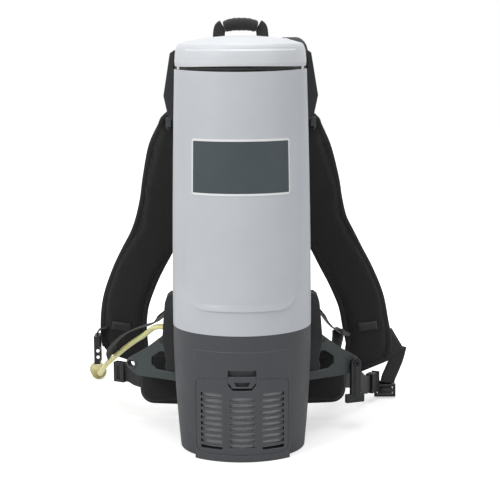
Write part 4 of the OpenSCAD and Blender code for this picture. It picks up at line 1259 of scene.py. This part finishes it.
@dataclass
class Harness:
    """The pads and webbings that carry the machine on the back."""

    pads: tuple[Pad, ...] = (
        Pad("shoulder_left", "shoulder_pad_left", (
            (-80, 110.8, 466), (-82, 112.8, 438), (-100, 142, 402), (-112, 177, 352), (-118, 195, 318),
            (-127, 211, 283), (-138, 221, 254), (-153, 228, 226), (-167, 233, 197), (-181, 237, 158),
            (-186, 242, 122), (-185.5, 246, 96), (-185, 249, 80), (-190, 250, 64.5)),
            72, 13, corner=(30.0, 20.0)),
        Pad("shoulder_right", "shoulder_pad_right", (
            (78, 110.8, 466), (78, 112.8, 438), (95, 142, 400), (109, 177, 350), (115, 195, 317),
            (124, 211, 282), (138, 221, 253), (152, 228, 225), (167, 233, 196), (183, 237, 157),
            (190.5, 238, 119), (196, 237.5, 90), (194, 237, 67), (200, 236, 50)),
            72, 13, corner=(30.0, 9.0)),
        Pad("back_cushion", "back_pad", (
            (0, 114.3, 184), (0, 114.3, 206), (0, 114.3, 290), (0, 114.3, 380), (0, 114.3, 402)),
            132, 20, corner=(20.0, 20.0), binding_thickness=7.0),
        Pad("lumbar_cushion", "lumbar_pad", (
            (-152, 127.3, 65), (-136, 123.3, 65), (-104, 118.3, 65), (-60, 115.3, 65), (0, 115.3, 65),
            (60, 115.3, 65), (104, 118.3, 65), (136, 123.3, 65), (152, 127.3, 65)),
            80, 22, side=(0.0, 0.0, 1.0), corner=(20.0, 20.0), binding_thickness=7.0),
    )
    straps: tuple[Strap, ...] = (
        Strap("lifter_left", "lifter_webbing_left", (
            (-101, 58, 446.7), (-104, 74, 444.5), (-105, 92, 440), (-103, 107, 436)), 12, (0, 0, 1)),
        Strap("lifter_right", "lifter_webbing_right", (
            (101, 58, 446.7), (104, 74, 444.5), (105, 92, 440), (103, 107, 436)), 12, (0, 0, 1)),
        Strap("lower_left", "lower_webbing_left", (
            (-112.2, 57.5, 176.2), (-119, 84, 162), (-130, 110, 149), (-151, 139, 137), (-176, 170, 121),
            (-194, 194, 103), (-203, 212, 88), (-204, 225, 76)), 25, (0.35, 1, 0)),
        Strap("lower_right", "lower_webbing_right", (
            (112.2, 57.5, 176.2), (119, 84, 160), (128, 108, 145), (138, 140, 131), (147, 174, 121),
            (153, 205, 114), (155, 235, 110)), 25, (-0.2, 1, 0)),
        Strap("lower_right_tail", "", (
            (142, 141, 131), (141, 131, 121), (138, 120, 112), (135, 110, 104)), 18, (1, 0, 0.5)),
        Strap("adjuster_left", "adjuster_webbing_left", (
            (-212, 242, 116), (-221, 241, 113.5), (-226, 240, 109.5), (-227, 240, 104.6)), 20, (0, 1, 0)),
        Strap("adjuster_right_fold", "adjuster_webbing_right", (
            (212, 240, 101), (223, 241, 82), (233, 241.5, 65.5)), 45, (0.86, 0, 0.51)),
        Strap("adjuster_right", "adjuster_webbing_right", (
            (245, 243.8, 83), (240, 244, 63), (233, 243.8, 45), (227.5, 243.2, 32), (226, 243, 24)),
            22, (1, 0, 0)),
        Strap("waist_left", "waist_webbing_left", (
            (-152, 126, 62), (-160, 132, 63), (-168, 137.6, 66.4), (-175.7, 142.75, 67)), 28, (0, 0, 1)),
        Strap("waist_right", "waist_webbing_right", (
            (152, 126, 60), (163, 143, 55), (176, 170, 46), (184, 188, 36), (189.6, 201, 31),
            (194.4, 210.6, 30)), 28, (0, 0, 1)),
    )
    loop: tuple[Point, ...] = (
        (224, 243.4, 25.4), (223, 246.2, 24.6), (222, 248.6, 21.5), (222, 248.6, 17.2), (222, 243, 16),
        (222, 237.8, 15), (222, 236.6, 12), (222, 237.8, 9), (222, 243, 7.7), (222, 248.4, 8))
    loop_half: tuple[float, float] = (11.0, 0.9)
    patches: dict[str, Patch] = field(default_factory=lambda: {
        "shoulder_left": Patch("patch_left", (-189, 235, 118), -9.0),
        "shoulder_right": Patch("patch_right", (193, 231, 117), 7.0),
    })

    def lock_loop(self) -> Object:
        """Makes the webbing that runs from the strap's end round the right lock's bar, and moves with it.

        Returns:
            The webbing.
        """
        w, t = self.loop_half[0] * MM, self.loop_half[1] * MM
        section = [(-w, -t), (w, -t), (w, t), (-w, t)]
        turn = swept("lock_loop", route(self.loop, 4), lambda _: section, (1, 0, 0), finish(Finish.WEBBING))
        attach(turn, "lock_right")
        return turn

    def build(self) -> list[Object]:
        """Makes every pad, strap and patch.

        Returns:
            All the pieces.
        """
        pieces = []
        for pad in self.pads:
            made = pad.build()
            pieces += made
            if pad.name in self.patches:
                pieces.append(self.patches[pad.name].build(made[0]))
        return pieces + [strap.build() for strap in self.straps] + [self.lock_loop()]


# ---- carry handle ----


@dataclass
class CarryHandle:
    """Two ends of webbing that run up into one padded, sewn grip."""

    half_width: float = 10.5
    half_thickness: float = 9.0
    gather: float = 0.34
    gather_from: float = 0.82  # the place where it begins, as a share of half the length
    crease: float = 0.025
    creases: int = 7
    slimmer: float = 0.12  # loss of thickness towards the ends
    powers: tuple[float, float] = (0.8, 0.85)
    arch: tuple[Point, ...] = (
        (-24, 102, 577.5), (-12, 102, 580.5), (0, 102, 581), (12, 102, 580.5), (24, 102, 577.5))
    webbing: tuple[Point, ...] = (
        (27, 105.5, 472), (27, 105.5, 508), (29, 103, 538), (31, 102, 560), (29.5, 102, 575), (25, 102, 579))

    def grip_section(self, t: float) -> Section:
        """Gives the grip's section, gathered at both ends and creased across.

        Args:
            t: The place along the grip, from 0 to 1.

        Returns:
            Its points, in metres.
        """
        u = 2 * t - 1
        near_end = max(0.0, (abs(u) - self.gather_from) / (1 - self.gather_from))
        gather = 1 - self.gather * near_end**2
        crease = 1 + self.crease * sin(t * tau * self.creases)
        half_t = self.half_thickness * (1 - self.slimmer * u * u) * gather * crease
        return pillow(self.half_width * gather, half_t, self.powers, 28)

    def build(self) -> list[Object]:
        """Makes the grip and the webbing.

        Returns:
            The grip and both ends of webbing.
        """
        grip = swept("handle_sleeve", route(self.arch, 8), self.grip_section, (0, 1, 0), finish(Finish.GRIP))
        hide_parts("handle_grip")
        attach(grip, "machine")
        pieces = [grip]
        for side, s in (("left", -1), ("right", 1)):
            points = tuple((s * x, y, z) for x, y, z in self.webbing)
            pieces.append(Strap(f"handle_strap_{side}", "handle_webbing", points, 17, (1, 0, 0)).build())
        return pieces


# ---- plug ----


@dataclass
class Plug:
    """The lead's plug: a ribbed, see-through vinyl body with three pins."""

    start: Point = (-237.0, 359.0, 13.5)
    heading: Point = (-2.0, 8.0, 0.0)
    profile: tuple[tuple[float, float], ...] = (
        (-3.0, 4.3), (0.0, 4.8), (2.5, 5.6), (3.2, 5.0), (5.5, 6.6), (6.2, 6.0), (8.5, 8.4), (9.6, 10.6),
        (10.6, 12.2), (12.5, 12.9), (16.0, 12.9), (17.0, 12.2), (18.0, 12.9), (21.0, 12.9), (22.0, 12.2),
        (23.0, 12.9), (31.5, 12.9), (33.2, 12.3), (34.0, 11.0))
    pins: tuple[tuple[str, float, float, float, float], ...] = (
        ("pin_left", -6, 1.5, 3.0, 0.8), ("pin_right", 6, 1.5, 3.0, 0.8), ("pin_earth", 0, -6.5, 2.3, 2.3))
    pin_along: tuple[float, ...] = (33, 36, 48, 50.5)
    pin_tip: float = 0.6  # size of a pin's end, as a share of the rest

    def section(self, t: float) -> Section:
        """Gives the body's round section.

        Args:
            t: The place along the body, from 0 to 1.

        Returns:
            Its points, in metres.
        """
        radius = self.profile[round(t * (len(self.profile) - 1))][1]
        return pillow(radius, radius, (1.0, 1.0), 32)

    def build(self) -> list[Object]:
        """Makes the plug.

        Returns:
            Its body and its pins.
        """
        ahead = Vector(self.heading).normalized()
        start = Vector(self.start) * MM
        path = [start + ahead * along * MM for along, _ in self.profile]
        body = swept("plug_body", path, self.section, (0, 0, 1), finish(Finish.PLUG))
        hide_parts("cord_plug")
        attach(body, "machine")
        sideways = ahead.cross(Vector((0, 0, 1)))
        pieces = [body]
        for name, across, up, half_w, half_t in self.pins:
            base = start + (sideways * across + Vector((0, 0, up))) * MM
            blade = pillow(half_w, half_t, (1.0, 1.0), 16)
            tip = [(a * self.pin_tip, b * self.pin_tip) for a, b in blade]
            path = [base + ahead * d * MM for d in self.pin_along]
            pin = swept(f"plug_{name}", path, lambda t: tip if t == 1 else blade, (0, 0, 1),
                        finish(Finish.BRASS))
            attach(pin, "machine")
            pieces.append(pin)
        return pieces


# ---- assembly ----


def main() -> None:
    """Builds every sub-assembly in order."""
    logging.basicConfig(level=logging.INFO, format="%(name)s: %(message)s")
    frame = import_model()
    nodes = frame["nodes"]
    Studio().build()
    MouldedParts().dress(nodes)
    plug = Plug().build()
    made = [*plug, PowerLead().build(plug), *LabelPlate().build(), *CarryHandle().build(), *Harness().build()]
    for piece in made:
        log.info("made %s", piece.name)


if __name__ == "__main__":
    main()
